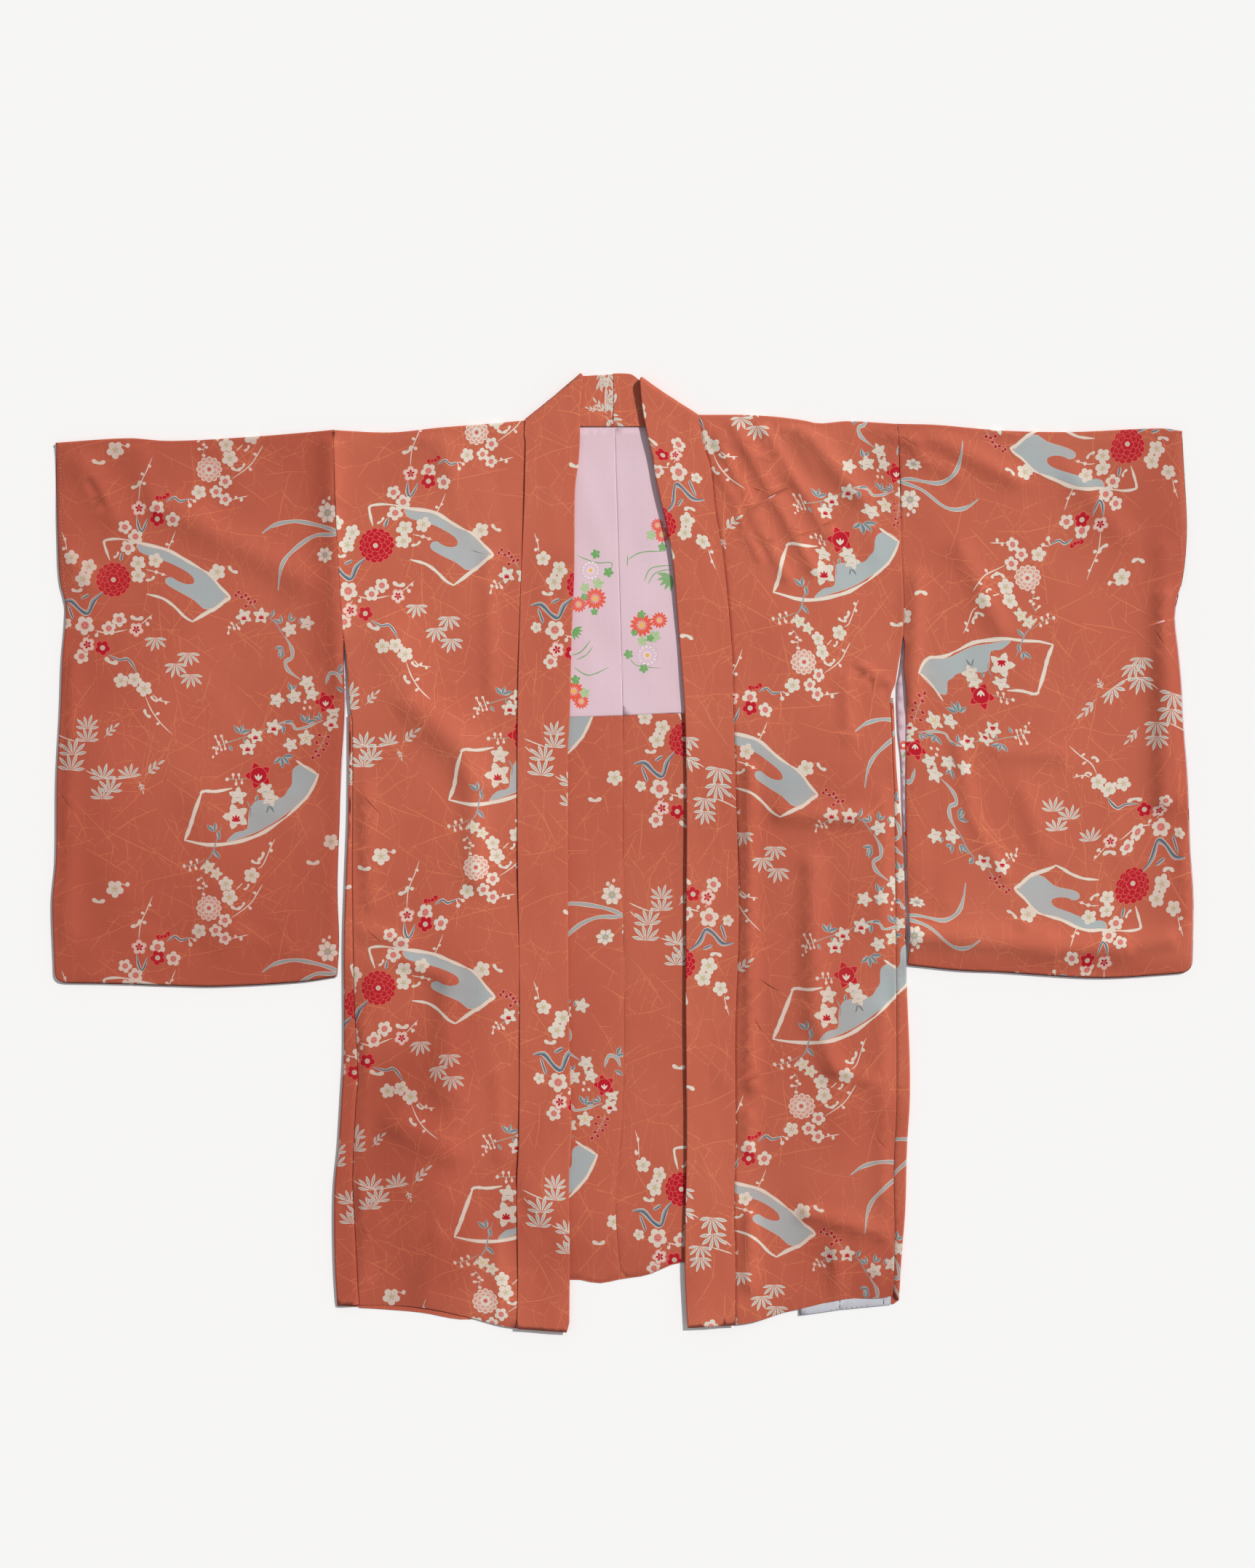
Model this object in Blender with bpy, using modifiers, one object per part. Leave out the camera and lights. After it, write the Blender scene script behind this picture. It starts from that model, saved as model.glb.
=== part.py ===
"""A haori, the jacket worn over a kimono, laid flat on its back with its sleeves spread.

Lengths are in millimetres until a mesh is made. X runs across the garment, Y from the hem
to the collar and Z up from the surface that it lies on; left and right are as seen from above.
Each piece is a sheet of cloth, bent where the maker folds it, and a Solidify modifier gives
the sheet its wall. The fronts carry soft folds, and the back lies flat.
"""

import math

import bmesh
import bpy

METRES = 0.001

# Walls, and the level of each layer's middle above the surface below.
WALL = 1.2
LINING_WALL = 0.9
BAND_WALL = 3.0
SEAM_GAP = 0.3
BACK_LEVEL = WALL / 2
INSIDE_LEVEL = WALL + SEAM_GAP + LINING_WALL / 2
FRONT_LEVEL = 4.6
NECK_LEVEL = BAND_WALL / 2
BAND_LEVEL = 5.6

# A fold of cloth is a half circle in this many steps.
FOLD_STEPS = 4
FOLD_RADIUS = (FRONT_LEVEL - BACK_LEVEL) / 2
FOLD_REACH = FOLD_RADIUS + WALL / 2
BAND_FOLD_RADIUS = (BAND_LEVEL - NECK_LEVEL) / 2

# Grid sizes of the pieces.
BODY_ROWS = 37
FRONT_COLUMNS = 8
MIDDLE_COLUMNS = 3
SLEEVE_ROWS = 24
SLEEVE_COLUMNS = 12
BAND_COLUMNS = 3
LINING_ROWS = 12
LINING_COLUMNS = 3

# The middle of the laid garment's outline in the measures below, which becomes the origin.
MIDDLE_X = -0.2
MIDDLE_Y = -1.3

# Soft folds die away this far from an edge that is folded or joined to a level piece.
CALM_MARGIN = 30.0

# Upright edges are rows of (y, x) from the hem up, and level edges rows of (x, y) from the left.
CENTRE_SEAM = ((-474, -2), (-395, -8), (-303, -1), (-224, 1.5), (0, 0), (151, 0), (236, -2), (474, -9))
BACK_HEM = (
    (-318, -507), (-270, -510), (-225, -514), (-180, -521.5), (-150, -517), (-100, -493), (-58, -477),
    (-26, -481), (0, -476), (27, -472), (65, -458), (110, -466), (160, -485), (200, -496), (270, -500),
    (308, -505.5),
)
NECKLINE = ((-110, 475), (-85, 473.4), (23, 473.4), (60, 475), (82, 480))

LEFT = {
    "inward": 1,
    "side_seam": (
        (-506, -294), (-408, -299), (-369, -301), (-292, -298), (-250, -295), (-169, -299), (-35, -301.3),
        (55, -301), (148, -301.5), (160, -303.9), (213, -307.9), (240, -311.3), (252, -312.2), (337, -317.5),
        (389, -320), (471, -322),
    ),
    "gusset_fold": (
        (-503, -318.5), (-461, -321), (-408, -322), (-369, -321), (-329, -317), (-264, -313),
        (-224, -311), (-100, -311), (-35, -309), (49, -306), (152, -305.5),
    ),
    "gusset_top": 152,
    "collar_seam": (
        (-531, -118), (-474, -117), (-369, -118), (-329, -116), (-169, -115), (29, -117.5), (171, -117),
        (287, -114), (386, -110), (481, -108),
    ),
    "collar_edge": (
        (-535, -59.5), (-435, -59), (-369, -60), (-308, -57), (-250, -58.5), (-169, -60), (-74, -61),
        (114, -61), (150, -59), (237, -57), (312, -54), (406, -53), (436, -49), (474, -47),
    ),
    "front_hem": (
        (-318, -503), (-295, -506), (-258, -506.5), (-221, -509), (-179, -518), (-131, -530), (-87, -535),
        (-60, -535),
    ),
    "shoulder": ((-322, 470), (-258, 467.5), (-203, 473), (-151, 477), (-108, 481)),
}
RIGHT = {
    "inward": -1,
    "side_seam": (
        (-497, 302), (-423, 303), (-352, 302), (-280, 305), (-83, 304), (60, 302.4), (110, 300.5),
        (150, 299), (172, 297.8), (185, 303.4), (205, 306.5), (225, 310.2), (240, 312), (252, 312.9),
        (279, 313), (330, 311), (382, 310), (446, 308), (477, 305.5),
    ),
    "gusset_fold": (
        (-494, 308), (-447, 311), (-399, 315), (-328, 317), (-280, 320), (-233, 320), (-145, 316.6),
        (-55, 314.9), (0, 312.8), (50, 308.6), (110, 304), (171, 302.1),
    ),
    "gusset_top": 171,
    "collar_seam": (
        (-528, 125.5), (-447, 125.5), (-399, 124), (-316, 126), (-202, 125.5), (-83, 129.5), (-35, 129),
        (106, 125), (167, 123), (221, 122), (328, 112), (382, 103), (428, 98), (452, 90), (487, 83),
    ),
    "collar_edge": (
        (-531, 72), (-459, 69), (-333, 71), (-154, 70), (60, 71), (155, 69), (241, 62.5), (328, 55),
        (370, 47), (414, 37), (444, 32), (470, 26), (510, 21),
    ),
    "front_hem": (
        (72, -532), (125, -528), (150, -524), (183, -513.5), (202, -510), (245, -500), (290, -498),
        (308, -494),
    ),
    "shoulder": ((83, 487), (134, 487), (170, 485), (201, 481), (219, 477.5), (250, 480), (305, 477)),
}

# Sleeves: the furi is the inner edge, free below the armhole. The cuff is open above cuff_end.
ARMHOLE_END = 240
LEFT_SLEEVE = {
    "inward": 1,
    "armhole": LEFT["side_seam"],
    "front_furi": ((-139, -319), (-100, -317), (-36, -319), (29, -316.5), (90, -315), (158, -311), (228, -311.5)),
    "back_furi": ((-139, -319), (29, -316.5), (120, -311.5), (165, -309.2), (200, -308.9), (228, -310.6)),
    "outer": (
        (-148, -624), (-134, -633), (-56, -636), (-10, -632), (81, -631), (158, -627), (213, -625),
        (272, -621), (302, -627), (349, -629), (411, -631), (456, -632),
    ),
    "top": ((-632, 456), (-551, 461), (-506, 458), (-422, 462), (-347, 468), (-322, 470.5)),
    "bottom": ((-634, -146), (-567, -147), (-503, -149), (-454, -150), (-361, -145), (-319, -139)),
    "cuff_end": 275,
}
RIGHT_SLEEVE = {
    "inward": -1,
    "armhole": RIGHT["side_seam"],
    "front_furi": ((-126, 317.5), (-90, 319.5), (-35, 316.8), (83, 315.5), (175, 316), (205, 312.8), (228, 314)),
    "back_furi": (
        (-126, 318), (-55, 316), (0, 314), (50, 311.3), (104, 309.8), (135, 306.5), (185, 305.2), (198, 308),
        (225, 311.4),
    ),
    "outer": (
        (-136, 627), (-123, 634), (-50, 635.5), (3, 632), (83, 629), (148, 624), (190, 622), (222, 619),
        (267, 615), (301, 623), (334, 627), (371, 628), (438, 624.5), (469, 623),
    ),
    "top": ((305, 477), (348, 476), (393, 472), (432, 469), (502, 468), (601, 472), (623, 469)),
    "bottom": ((317, -126), (374, -132), (421, -134), (511, -140), (552, -140), (635, -134)),
    "cuff_end": 284,
}

# The collar leaves its centre-back join, turns over at the neck and comes down the front.
# Sections run from the seam edge to the free edge: seam x, seam y, free x, free y, lift.
# Below NECK_TURN_Y they follow the body's edge, with the free edge higher by a slant at foot and top.
NECK_TURN_Y = 456.0
LEFT_NECK = (
    (-10.7, 474.1, -10.7, 532.4, 0.0),
    (-45.0, 474.1, -22.0, 531.8, 0.0),
    (-75.0, 474.2, -33.0, 531.2, 0.0),
    (-101.5, 478.0, -44.0, 527.6, 0.0),
)
LEFT_TURN = (
    (-101.5, 478.0, -44.0, 527.6, 0.0),
    (-107.2, 462.0, -47.2, 490.0, 0.0),
)
LEFT_SLANT = (-4.0, 0.0)
RIGHT_NECK = (
    (-10.3, 474.1, -10.3, 533.4, 0.0),
    (20.0, 474.1, 0.0, 533.4, 0.0),
    (48.0, 475.6, 10.0, 532.2, 0.0),
    (78.0, 483.4, 18.6, 526.0, 0.0),
)
RIGHT_TURN = (
    (78.0, 483.4, 18.6, 526.0, 0.0),
    (84.6, 468.0, 21.2, 498.0, 2.0),
)
RIGHT_SLANT = (-3.0, 12.0)

# Soft folds of the front layers: from x, y to x, y, the fold's half width and its height.
SOFT_FOLDS = (
    (-262, 170, -246, 50, 20, 2.4),
    (-196, -275, -160, -310, 18, 1.6),
    (-150, -430, -140, -530, 22, 2.0),
    (-230, 440, -150, 330, 24, 1.4),
    (-600, 425, -575, 370, 18, 2.6),
    (-480, 60, -470, -90, 26, 1.4),
    (-345, 150, -330, -60, 16, 1.4),
    (100, 466, 220, 392, 20, 3.2),
    (185, 462, 220, 424, 16, 2.0),
    (176, 160, 176, -15, 18, 2.6),
    (150, 22, 216, 18, 16, 1.8),
    (215, -440, 226, -506, 24, 2.4),
    (330, 452, 430, 372, 20, 2.6),
    (598, 330, 596, 190, 18, 2.4),
    (430, -100, 480, -112, 16, 2.2),
    (322, 200, 322, -90, 12, 1.8),
)

# The lining that shows inside the neck, the furi strips and the pale band inside the back hem.
LINING_HEM = ((-116, 149.4), (-59, 150), (0, 152), (69, 155), (124, 155.5))
LINING_TOP = ((-116, 472.6), (124, 472.6))
LINING_SIDE_LEFT = ((150, -111), (330, -108), (472, -101))
LINING_SIDE_RIGHT = ((150, 116), (330, 106), (400, 92), (472, 76))
FURI_LINING_WIDTH = 55.0
FURI_LINING_TOP = ((-640, 232), (640, 232))
FURI_LINING_FOOT = ((-640, -112), (640, -112))
HEM_BAND_FOOT = ((197, -517.5), (242, -511.5), (299, -505.5))
HEM_BAND_TOP = ((197, -462), (299, -462))
HEM_BAND_ENDS = (197.0, 299.0)

SILK = ("printed_silk_crepe", (0.56, 0.125, 0.065), 0.72)
GUSSET_SILK = ("printed_silk_gusset", (0.53, 0.115, 0.06), 0.72)
COLLAR_SILK = ("printed_silk_collar", (0.58, 0.14, 0.075), 0.72)
LINING_SILK = ("pale_pink_lining_silk", (0.70, 0.53, 0.60), 0.55)
PLAIN_COTTON = ("pale_cotton_band", (0.66, 0.67, 0.72), 0.8)


def mix(a, b, share):
    return a + (b - a) * share


def curve(table, at):
    """The value at a point of the smooth curve through a table of (at, value) rows."""
    if at <= table[0][0]:
        return table[0][1]
    if at >= table[-1][0]:
        return table[-1][1]
    upper = next(index for index, row in enumerate(table) if row[0] >= at)
    (start, low), (end, high) = table[upper - 1], table[upper]

    def slope(index):
        before = table[max(index - 1, 0)]
        after = table[min(index + 1, len(table) - 1)]
        return (after[1] - before[1]) / (after[0] - before[0])

    span = end - start
    t = (at - start) / span
    rise_in = slope(upper - 1) * span * t * (1 - t) ** 2
    rise_out = slope(upper) * span * t * t * (1 - t)
    return mix(low, high, t * t * (3 - 2 * t)) + rise_in - rise_out


def moved(table, by):
    """The same edge, moved by a distance in its second column."""
    return tuple((at, value + by) for at, value in table)


def patch(start, end, bottom, top):
    """A function from (u, v), each 0 to 1, to the (x, y) of a four-sided piece of cloth."""

    def spot(u, v):
        x = mix(curve(start, 0), curve(end, 0), u)
        for _ in range(8):
            y = mix(curve(bottom, x), curve(top, x), v)
            x = mix(curve(start, y), curve(end, y), u)
        return x, y

    return spot


def fold_height(x, y):
    """How far the soft folds lift the front layer at a point."""
    height = 0.0
    for x0, y0, x1, y1, width, peak in SOFT_FOLDS:
        length_squared = (x1 - x0) ** 2 + (y1 - y0) ** 2
        share = ((x - x0) * (x1 - x0) + (y - y0) * (y1 - y0)) / length_squared
        share = min(max(share, 0.0), 1.0)
        away = math.hypot(x - mix(x0, x1, share), y - mix(y0, y1, share))
        height += peak * math.exp(-((away / width) ** 2))
    return height


def calm(*distances):
    """1 away from the given edges, falling smoothly to 0 on them."""
    share = min(min(distances) / CALM_MARGIN, 1.0)
    return share * share * (3 - 2 * share)


def bend(points_above, across, steps, radius):
    """Rows of points round a half-circle fold, from below a front row to above the back row."""
    rows = []
    for step in range(1, steps):
        angle = math.pi * (0.5 - step / steps)
        reach = radius * math.cos(angle)
        drop = radius * (1 - math.sin(angle))
        rows.append([(x + across[0] * reach, y + across[1] * reach, z - drop) for x, y, z in points_above])
    return rows


def placed(point):
    """A point of the measures, in metres from the origin."""
    x, y, z = point
    return (METRES * (x - MIDDLE_X), METRES * (y - MIDDLE_Y), METRES * z)


def sheet(rows, closed=False):
    """A mesh of quads through rows of points. A row may be longer than the one beside it."""
    mesh = bmesh.new()
    grid = [[mesh.verts.new(placed(point)) for point in row] for row in rows]
    pairs = list(zip(grid, grid[1:]))
    if closed:
        pairs.append((grid[-1], grid[0]))
    for lower, upper in pairs:
        for column in range(min(len(lower), len(upper)) - 1):
            corners = (lower[column], lower[column + 1], upper[column + 1], upper[column])
            mesh.faces.new(corners)
    return mesh, grid


def cloth(name, mesh, wall, silk):
    """An object from an open sheet, with its wall added and its material given."""
    bmesh.ops.recalc_face_normals(mesh, faces=mesh.faces)
    data = bpy.data.meshes.new(name)
    mesh.to_mesh(data)
    mesh.free()
    data.shade_smooth()
    piece = bpy.data.objects.new(name, data)
    solidify = piece.modifiers.new("Wall", "SOLIDIFY")
    solidify.thickness = METRES * wall
    solidify.offset = 0
    data.materials.append(material(*silk))
    piece.parent = garment
    parts.objects.link(piece)


def material(name, colour, roughness):
    if name in bpy.data.materials:
        return bpy.data.materials[name]
    made = bpy.data.materials.new(name)
    made.use_nodes = True
    surface = made.node_tree.nodes["Principled BSDF"]
    surface.inputs["Base Color"].default_value = (*colour, 1.0)
    surface.inputs["Roughness"].default_value = roughness
    return made


def body_patches(side):
    """The front and the back of a body length, from the side seam to the line of the collar seam."""
    half_gap = side["inward"] * SEAM_GAP / 2
    shoulder = moved(side["shoulder"], -FOLD_REACH)
    outer = moved(side["side_seam"], half_gap)
    seam = moved(side["collar_seam"], -half_gap)
    return patch(outer, seam, side["front_hem"], shoulder), patch(outer, seam, BACK_HEM, shoulder)


def body(name, side):
    """One length of cloth: up the front, over the shoulder and down the back to the hem."""
    half_gap = side["inward"] * SEAM_GAP / 2
    front, back = body_patches(side)
    seam = moved(side["collar_seam"], -half_gap)
    middle = patch(seam, moved(CENTRE_SEAM, -half_gap), BACK_HEM, NECKLINE)
    width = abs(curve(seam, 0) - curve(side["side_seam"], 0))
    length = curve(side["shoulder"], 0) - curve(BACK_HEM, 0)
    front_rows = []
    back_rows = []
    for row in range(BODY_ROWS + 1):
        v = row / BODY_ROWS
        front_row = []
        back_row = []
        for column in range(FRONT_COLUMNS + 1):
            u = column / FRONT_COLUMNS
            x, y = front(u, v)
            lift = fold_height(x, y) * calm(u * width, (1 - v) * length)
            front_row.append((x, y, FRONT_LEVEL + lift))
            x, y = back(u, v)
            back_row.append((x, y, BACK_LEVEL))
        for column in range(1, MIDDLE_COLUMNS + 1):
            x, y = middle(column / MIDDLE_COLUMNS, v)
            back_row.append((x, y, BACK_LEVEL))
        front_rows.append(front_row)
        back_rows.append(back_row)
    over = bend(front_rows[-1], (0, 1), FOLD_STEPS, FOLD_RADIUS)
    mesh, _ = sheet(front_rows + over + back_rows[::-1])
    cloth(name, mesh, WALL, SILK)


def inner_edge(side, furi):
    """A sleeve's inner edge: the free furi edge, then the seam that it shares with the body."""
    return side[furi] + tuple(row for row in side["armhole"] if row[0] >= ARMHOLE_END)


def sleeve(name, side):
    """A flat tube, folded at the top, sewn at the foot and up the outer edge to the cuff."""
    inward = side["inward"]
    outer = moved(side["outer"], inward * FOLD_REACH)
    top = moved(side["top"], -FOLD_REACH)
    bottom = moved(side["bottom"], FOLD_REACH)
    away = -inward * SEAM_GAP / 2
    front = patch(moved(inner_edge(side, "front_furi"), away), outer, bottom, top)
    back = patch(moved(inner_edge(side, "back_furi"), away), outer, bottom, top)
    height = curve(top, 0) - curve(bottom, 0)
    width = abs(curve(outer, 0) - curve(side["front_furi"], 0))
    front_rows = []
    back_rows = []
    for row in range(SLEEVE_ROWS + 1):
        v = row / SLEEVE_ROWS
        front_row = []
        back_row = []
        for column in range(SLEEVE_COLUMNS + 1):
            u = column / SLEEVE_COLUMNS
            x, y = front(u, v)
            lift = fold_height(x, y) * calm((1 - u) * width, v * height, (1 - v) * height)
            front_row.append((x, y, FRONT_LEVEL + lift))
            x, y = back(u, v)
            back_row.append((x, y, BACK_LEVEL))
        front_rows.append(front_row)
        back_rows.append(back_row)
    over = bend(front_rows[-1], (0, 1), FOLD_STEPS, FOLD_RADIUS)
    under = bend(front_rows[0], (0, -1), FOLD_STEPS, FOLD_RADIUS)
    mesh, grid = sheet(front_rows + over + back_rows[::-1] + under[::-1], closed=True)
    edge = [row[-1] for row in front_rows if row[-1][1] < side["cuff_end"]]
    close_outer_edge(mesh, grid, edge, (-inward, 0))
    cloth(name, mesh, WALL, SILK)


def close_outer_edge(mesh, grid, edge, outward):
    """Joins a tube's two layers along their last column, from its foot up the given edge points."""
    bends = FOLD_STEPS - 1
    front_edge = [row[-1] for row in grid[: SLEEVE_ROWS + 1]]
    back_edge = [row[-1] for row in grid[-bends - 1 : -bends - SLEEVE_ROWS - 2 : -1]]
    foot = [row[-1] for row in grid[: -bends - 1 : -1]]
    below = [front_edge[0], *foot, back_edge[0]]
    for point, front_vertex, back_vertex in list(zip(edge, front_edge, back_edge))[1:]:
        around = bend([point], outward, FOLD_STEPS, FOLD_RADIUS)
        level = [front_vertex, *(mesh.verts.new(placed(row[0])) for row in around), back_vertex]
        for step in range(FOLD_STEPS):
            mesh.faces.new((below[step], below[step + 1], level[step + 1], level[step]))
        below = level


def gusset(name, side):
    """A narrow strip, folded lengthwise, that joins the front to the back at the side."""
    outward = -side["inward"]
    front, back = body_patches(side)
    rows = []
    for row in range(BODY_ROWS + 1):
        seam_x, front_y = front(0, row / BODY_ROWS)
        if front_y > side["gusset_top"]:
            break
        back_x, back_y = back(0, row / BODY_ROWS)
        width = abs(curve(side["gusset_fold"], front_y) - seam_x)
        bend_x = seam_x + outward * max(width - FOLD_REACH, 1.0)
        points = [(seam_x + outward * SEAM_GAP, front_y, FRONT_LEVEL), (bend_x, front_y, FRONT_LEVEL)]
        points += [turn[0] for turn in bend(points[1:], (outward, 0), FOLD_STEPS, FOLD_RADIUS)]
        points += [(bend_x, front_y, BACK_LEVEL), (back_x + outward * SEAM_GAP, front_y, BACK_LEVEL)]
        steps = len(points) - 1
        drop = back_y - front_y
        rows.append([(x, y + drop * step / steps, z) for step, (x, y, z) in enumerate(points)])
    mesh, _ = sheet(rows)
    cloth(name, mesh, WALL, GUSSET_SILK)


def section(seam_x, seam_y, free_x, free_y, level, lift=0.0):
    """A row of points across the collar band, from its seam to its free edge."""
    row = []
    for column in range(BAND_COLUMNS + 1):
        u = column / BAND_COLUMNS
        row.append((mix(seam_x, free_x, u), mix(seam_y, free_y, u), level + lift * u))
    return row


def collar(name, side, neck, turn, slant):
    """Half of the collar band: from the centre back, over the neck and down the front."""
    rows = [section(*ends[:4], NECK_LEVEL) for ends in neck]
    seam_x, seam_y, free_x, free_y, _ = neck[-1]
    length = math.hypot(free_x - seam_x, free_y - seam_y)
    outward = (-side["inward"] * (free_y - seam_y) / length, abs(free_x - seam_x) / length)
    over = bend(section(*neck[-1][:4], BAND_LEVEL), outward, FOLD_STEPS, BAND_FOLD_RADIUS)
    rows += over[::-1]
    rows += [section(*ends[:4], BAND_LEVEL, ends[4]) for ends in turn]
    front, _ = body_patches(side)
    for row in range(BODY_ROWS, -1, -1):
        v = row / BODY_ROWS
        seam_x, seam_y = front(1, v)
        if seam_y > NECK_TURN_Y:
            continue
        free_y = seam_y + mix(*slant, v)
        free_x = curve(side["collar_edge"], free_y)
        settle = max(4 * v - 3, 0.0)
        gap = side["inward"] * SEAM_GAP
        rows.append(section(seam_x + gap, seam_y, free_x, free_y, BAND_LEVEL, turn[-1][4] * settle))
    mesh, _ = sheet(rows)
    cloth(name, mesh, BAND_WALL, COLLAR_SILK)


def flat_piece(name, spot, silk, rows=LINING_ROWS, columns=LINING_COLUMNS):
    """A single layer that lies on the inner face of the back."""
    points = []
    for row in range(rows + 1):
        level = [spot(column / columns, row / rows) for column in range(columns + 1)]
        points.append([(x, y, INSIDE_LEVEL) for x, y in level])
    mesh, _ = sheet(points)
    cloth(name, mesh, LINING_WALL, silk)


def linings():
    half_gap = SEAM_GAP / 2
    centre_left = moved(CENTRE_SEAM, -half_gap)
    centre_right = moved(CENTRE_SEAM, half_gap)
    flat_piece("back_lining_left", patch(LINING_SIDE_LEFT, centre_left, LINING_HEM, LINING_TOP), LINING_SILK)
    flat_piece("back_lining_right", patch(centre_right, LINING_SIDE_RIGHT, LINING_HEM, LINING_TOP), LINING_SILK)
    for name, side in (("sleeve_lining_left", LEFT_SLEEVE), ("sleeve_lining_right", RIGHT_SLEEVE)):
        outward = -side["inward"]
        furi = moved(side["back_furi"], outward * SEAM_GAP)
        inner = moved(side["back_furi"], outward * FURI_LINING_WIDTH)
        flat_piece(name, patch(furi, inner, FURI_LINING_FOOT, FURI_LINING_TOP), LINING_SILK, rows=12, columns=2)


def hem_band():
    left, right = (((-520, x), (-460, x)) for x in HEM_BAND_ENDS)
    spot = patch(left, right, HEM_BAND_FOOT, HEM_BAND_TOP)
    flat_piece("hem_band", spot, PLAIN_COTTON, rows=2, columns=3)


for thing in list(bpy.data.objects):
    bpy.data.objects.remove(thing)
parts = bpy.data.collections.new("haori")
bpy.context.scene.collection.children.link(parts)
garment = bpy.data.objects.new("haori", None)
parts.objects.link(garment)

body("body_left", LEFT)
body("body_right", RIGHT)
sleeve("sleeve_left", LEFT_SLEEVE)
sleeve("sleeve_right", RIGHT_SLEEVE)
gusset("gusset_left", LEFT)
gusset("gusset_right", RIGHT)
collar("collar_left", LEFT, LEFT_NECK, LEFT_TURN, LEFT_SLANT)
collar("collar_right", RIGHT, RIGHT_NECK, RIGHT_TURN, RIGHT_SLANT)
linings()
hem_band()
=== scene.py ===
"""A lined silk haori, laid flat and dressed: its printed crepe, lining, seams, folds and stitches.

Lengths are in millimetres in the measures of the cut pieces, until placed() turns them to metres.
Each piece of cloth is cut flat: its outline and every printed shape go into one triangulation,
so that the print has clean edges. The flat piece is then laid: bent over its folds, lifted by
soft creases and given a thin wall.
"""
import math
import random

import bpy
import numpy as np
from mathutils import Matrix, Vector
from mathutils.geometry import delaunay_2d_cdt


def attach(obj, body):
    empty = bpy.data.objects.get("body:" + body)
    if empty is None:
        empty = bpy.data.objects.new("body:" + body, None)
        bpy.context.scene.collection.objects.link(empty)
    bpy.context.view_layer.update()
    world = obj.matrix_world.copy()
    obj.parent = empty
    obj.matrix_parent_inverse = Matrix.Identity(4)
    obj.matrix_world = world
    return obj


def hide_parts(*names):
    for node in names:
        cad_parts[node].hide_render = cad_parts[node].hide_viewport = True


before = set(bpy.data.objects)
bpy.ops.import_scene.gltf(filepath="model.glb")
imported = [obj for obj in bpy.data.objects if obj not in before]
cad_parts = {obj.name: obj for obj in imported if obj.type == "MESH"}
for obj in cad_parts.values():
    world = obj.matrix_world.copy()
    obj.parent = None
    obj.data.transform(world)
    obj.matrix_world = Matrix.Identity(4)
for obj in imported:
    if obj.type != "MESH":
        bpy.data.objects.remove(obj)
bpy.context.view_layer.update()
bpy.ops.object.select_all(action="DESELECT")

METRES = 0.001

# The middle of the garment in the measures of the pieces, which is set at the origin.
MIDDLE_X = -0.2
MIDDLE_Y = -1.3

# Levels of the cloth's outer faces above the surface below, and of the middle of the collar band
# at the back of the neck and on the fronts.
BACK_FACE = 0.0
FRONT_FACE = 5.2
INSIDE_FACE = 1.9
FACING_FACE = 1.45
NECK_LEVEL = 1.5
BAND_LEVEL = 5.6

# The fold between front and back, and half the thickness of the collar band, which is its fold's
# radius.
FOLD_RADIUS = (FRONT_FACE - BACK_FACE) / 2
FOLD_LENGTH = math.pi * FOLD_RADIUS
BAND_HALF = 1.5

# The cloth's walls, how much deeper the inner face lies where the cloth faces up, so that its few
# points can't come through, and the gap at a seam.
SILK_WALL = 0.8
LINING_WALL = 0.4
INNER_SINK = 1.1
SEAM_GAP = 0.12

# Folds lose height above the ease, and none passes the limit.
FOLD_EASE = 6.5
FOLD_LIMIT = 9.5

# The spacing of the points that carry the folds, in rows that make nearly even triangles, each
# point shifted at random by a share of it. The inner face needs fewer points.
CLOTH_PITCH = 9.0
NARROW_PITCH = 6.0
ROW_PITCH = 0.87
PITCH_SHIFT = 0.12
INNER_PITCH = 1.5

# How far those points keep from the outline, and the smallest gap that the cutting keeps.
EDGE_CLEARANCE = 1.2
CUT_PRECISION = 0.004

# The print repeats along the cloth, and is one cloth width across. Its pins move no shape farther
# than their reach.
REPEAT = 489.0
PIN_REACH = 40

# The silk facing inside the back ends here, where the lining begins.
FACING_TOP = 154.0
NECKLINE_Y = 474.0

# Upright edges are rows of (y, x) from the hem up, and level edges rows of (x, y) from the left.
CENTRE_SEAM = ((-474, -2), (-395, -8), (-303, -1), (-224, 1.5), (0, 0), (151, 0), (236, -2), (474, -9))
BACK_HEM = (
    (-318, -507), (-270, -510), (-225, -514), (-180, -521.5), (-150, -517), (-100, -493), (-58, -477),
    (-26, -481), (0, -476), (27, -472), (65, -458), (110, -466), (160, -485), (200, -496), (270, -500),
    (308, -505.5),
)
NECKLINE = ((-110, 475), (-85, 473.4), (23, 473.4), (60, 475), (82, 480))

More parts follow.
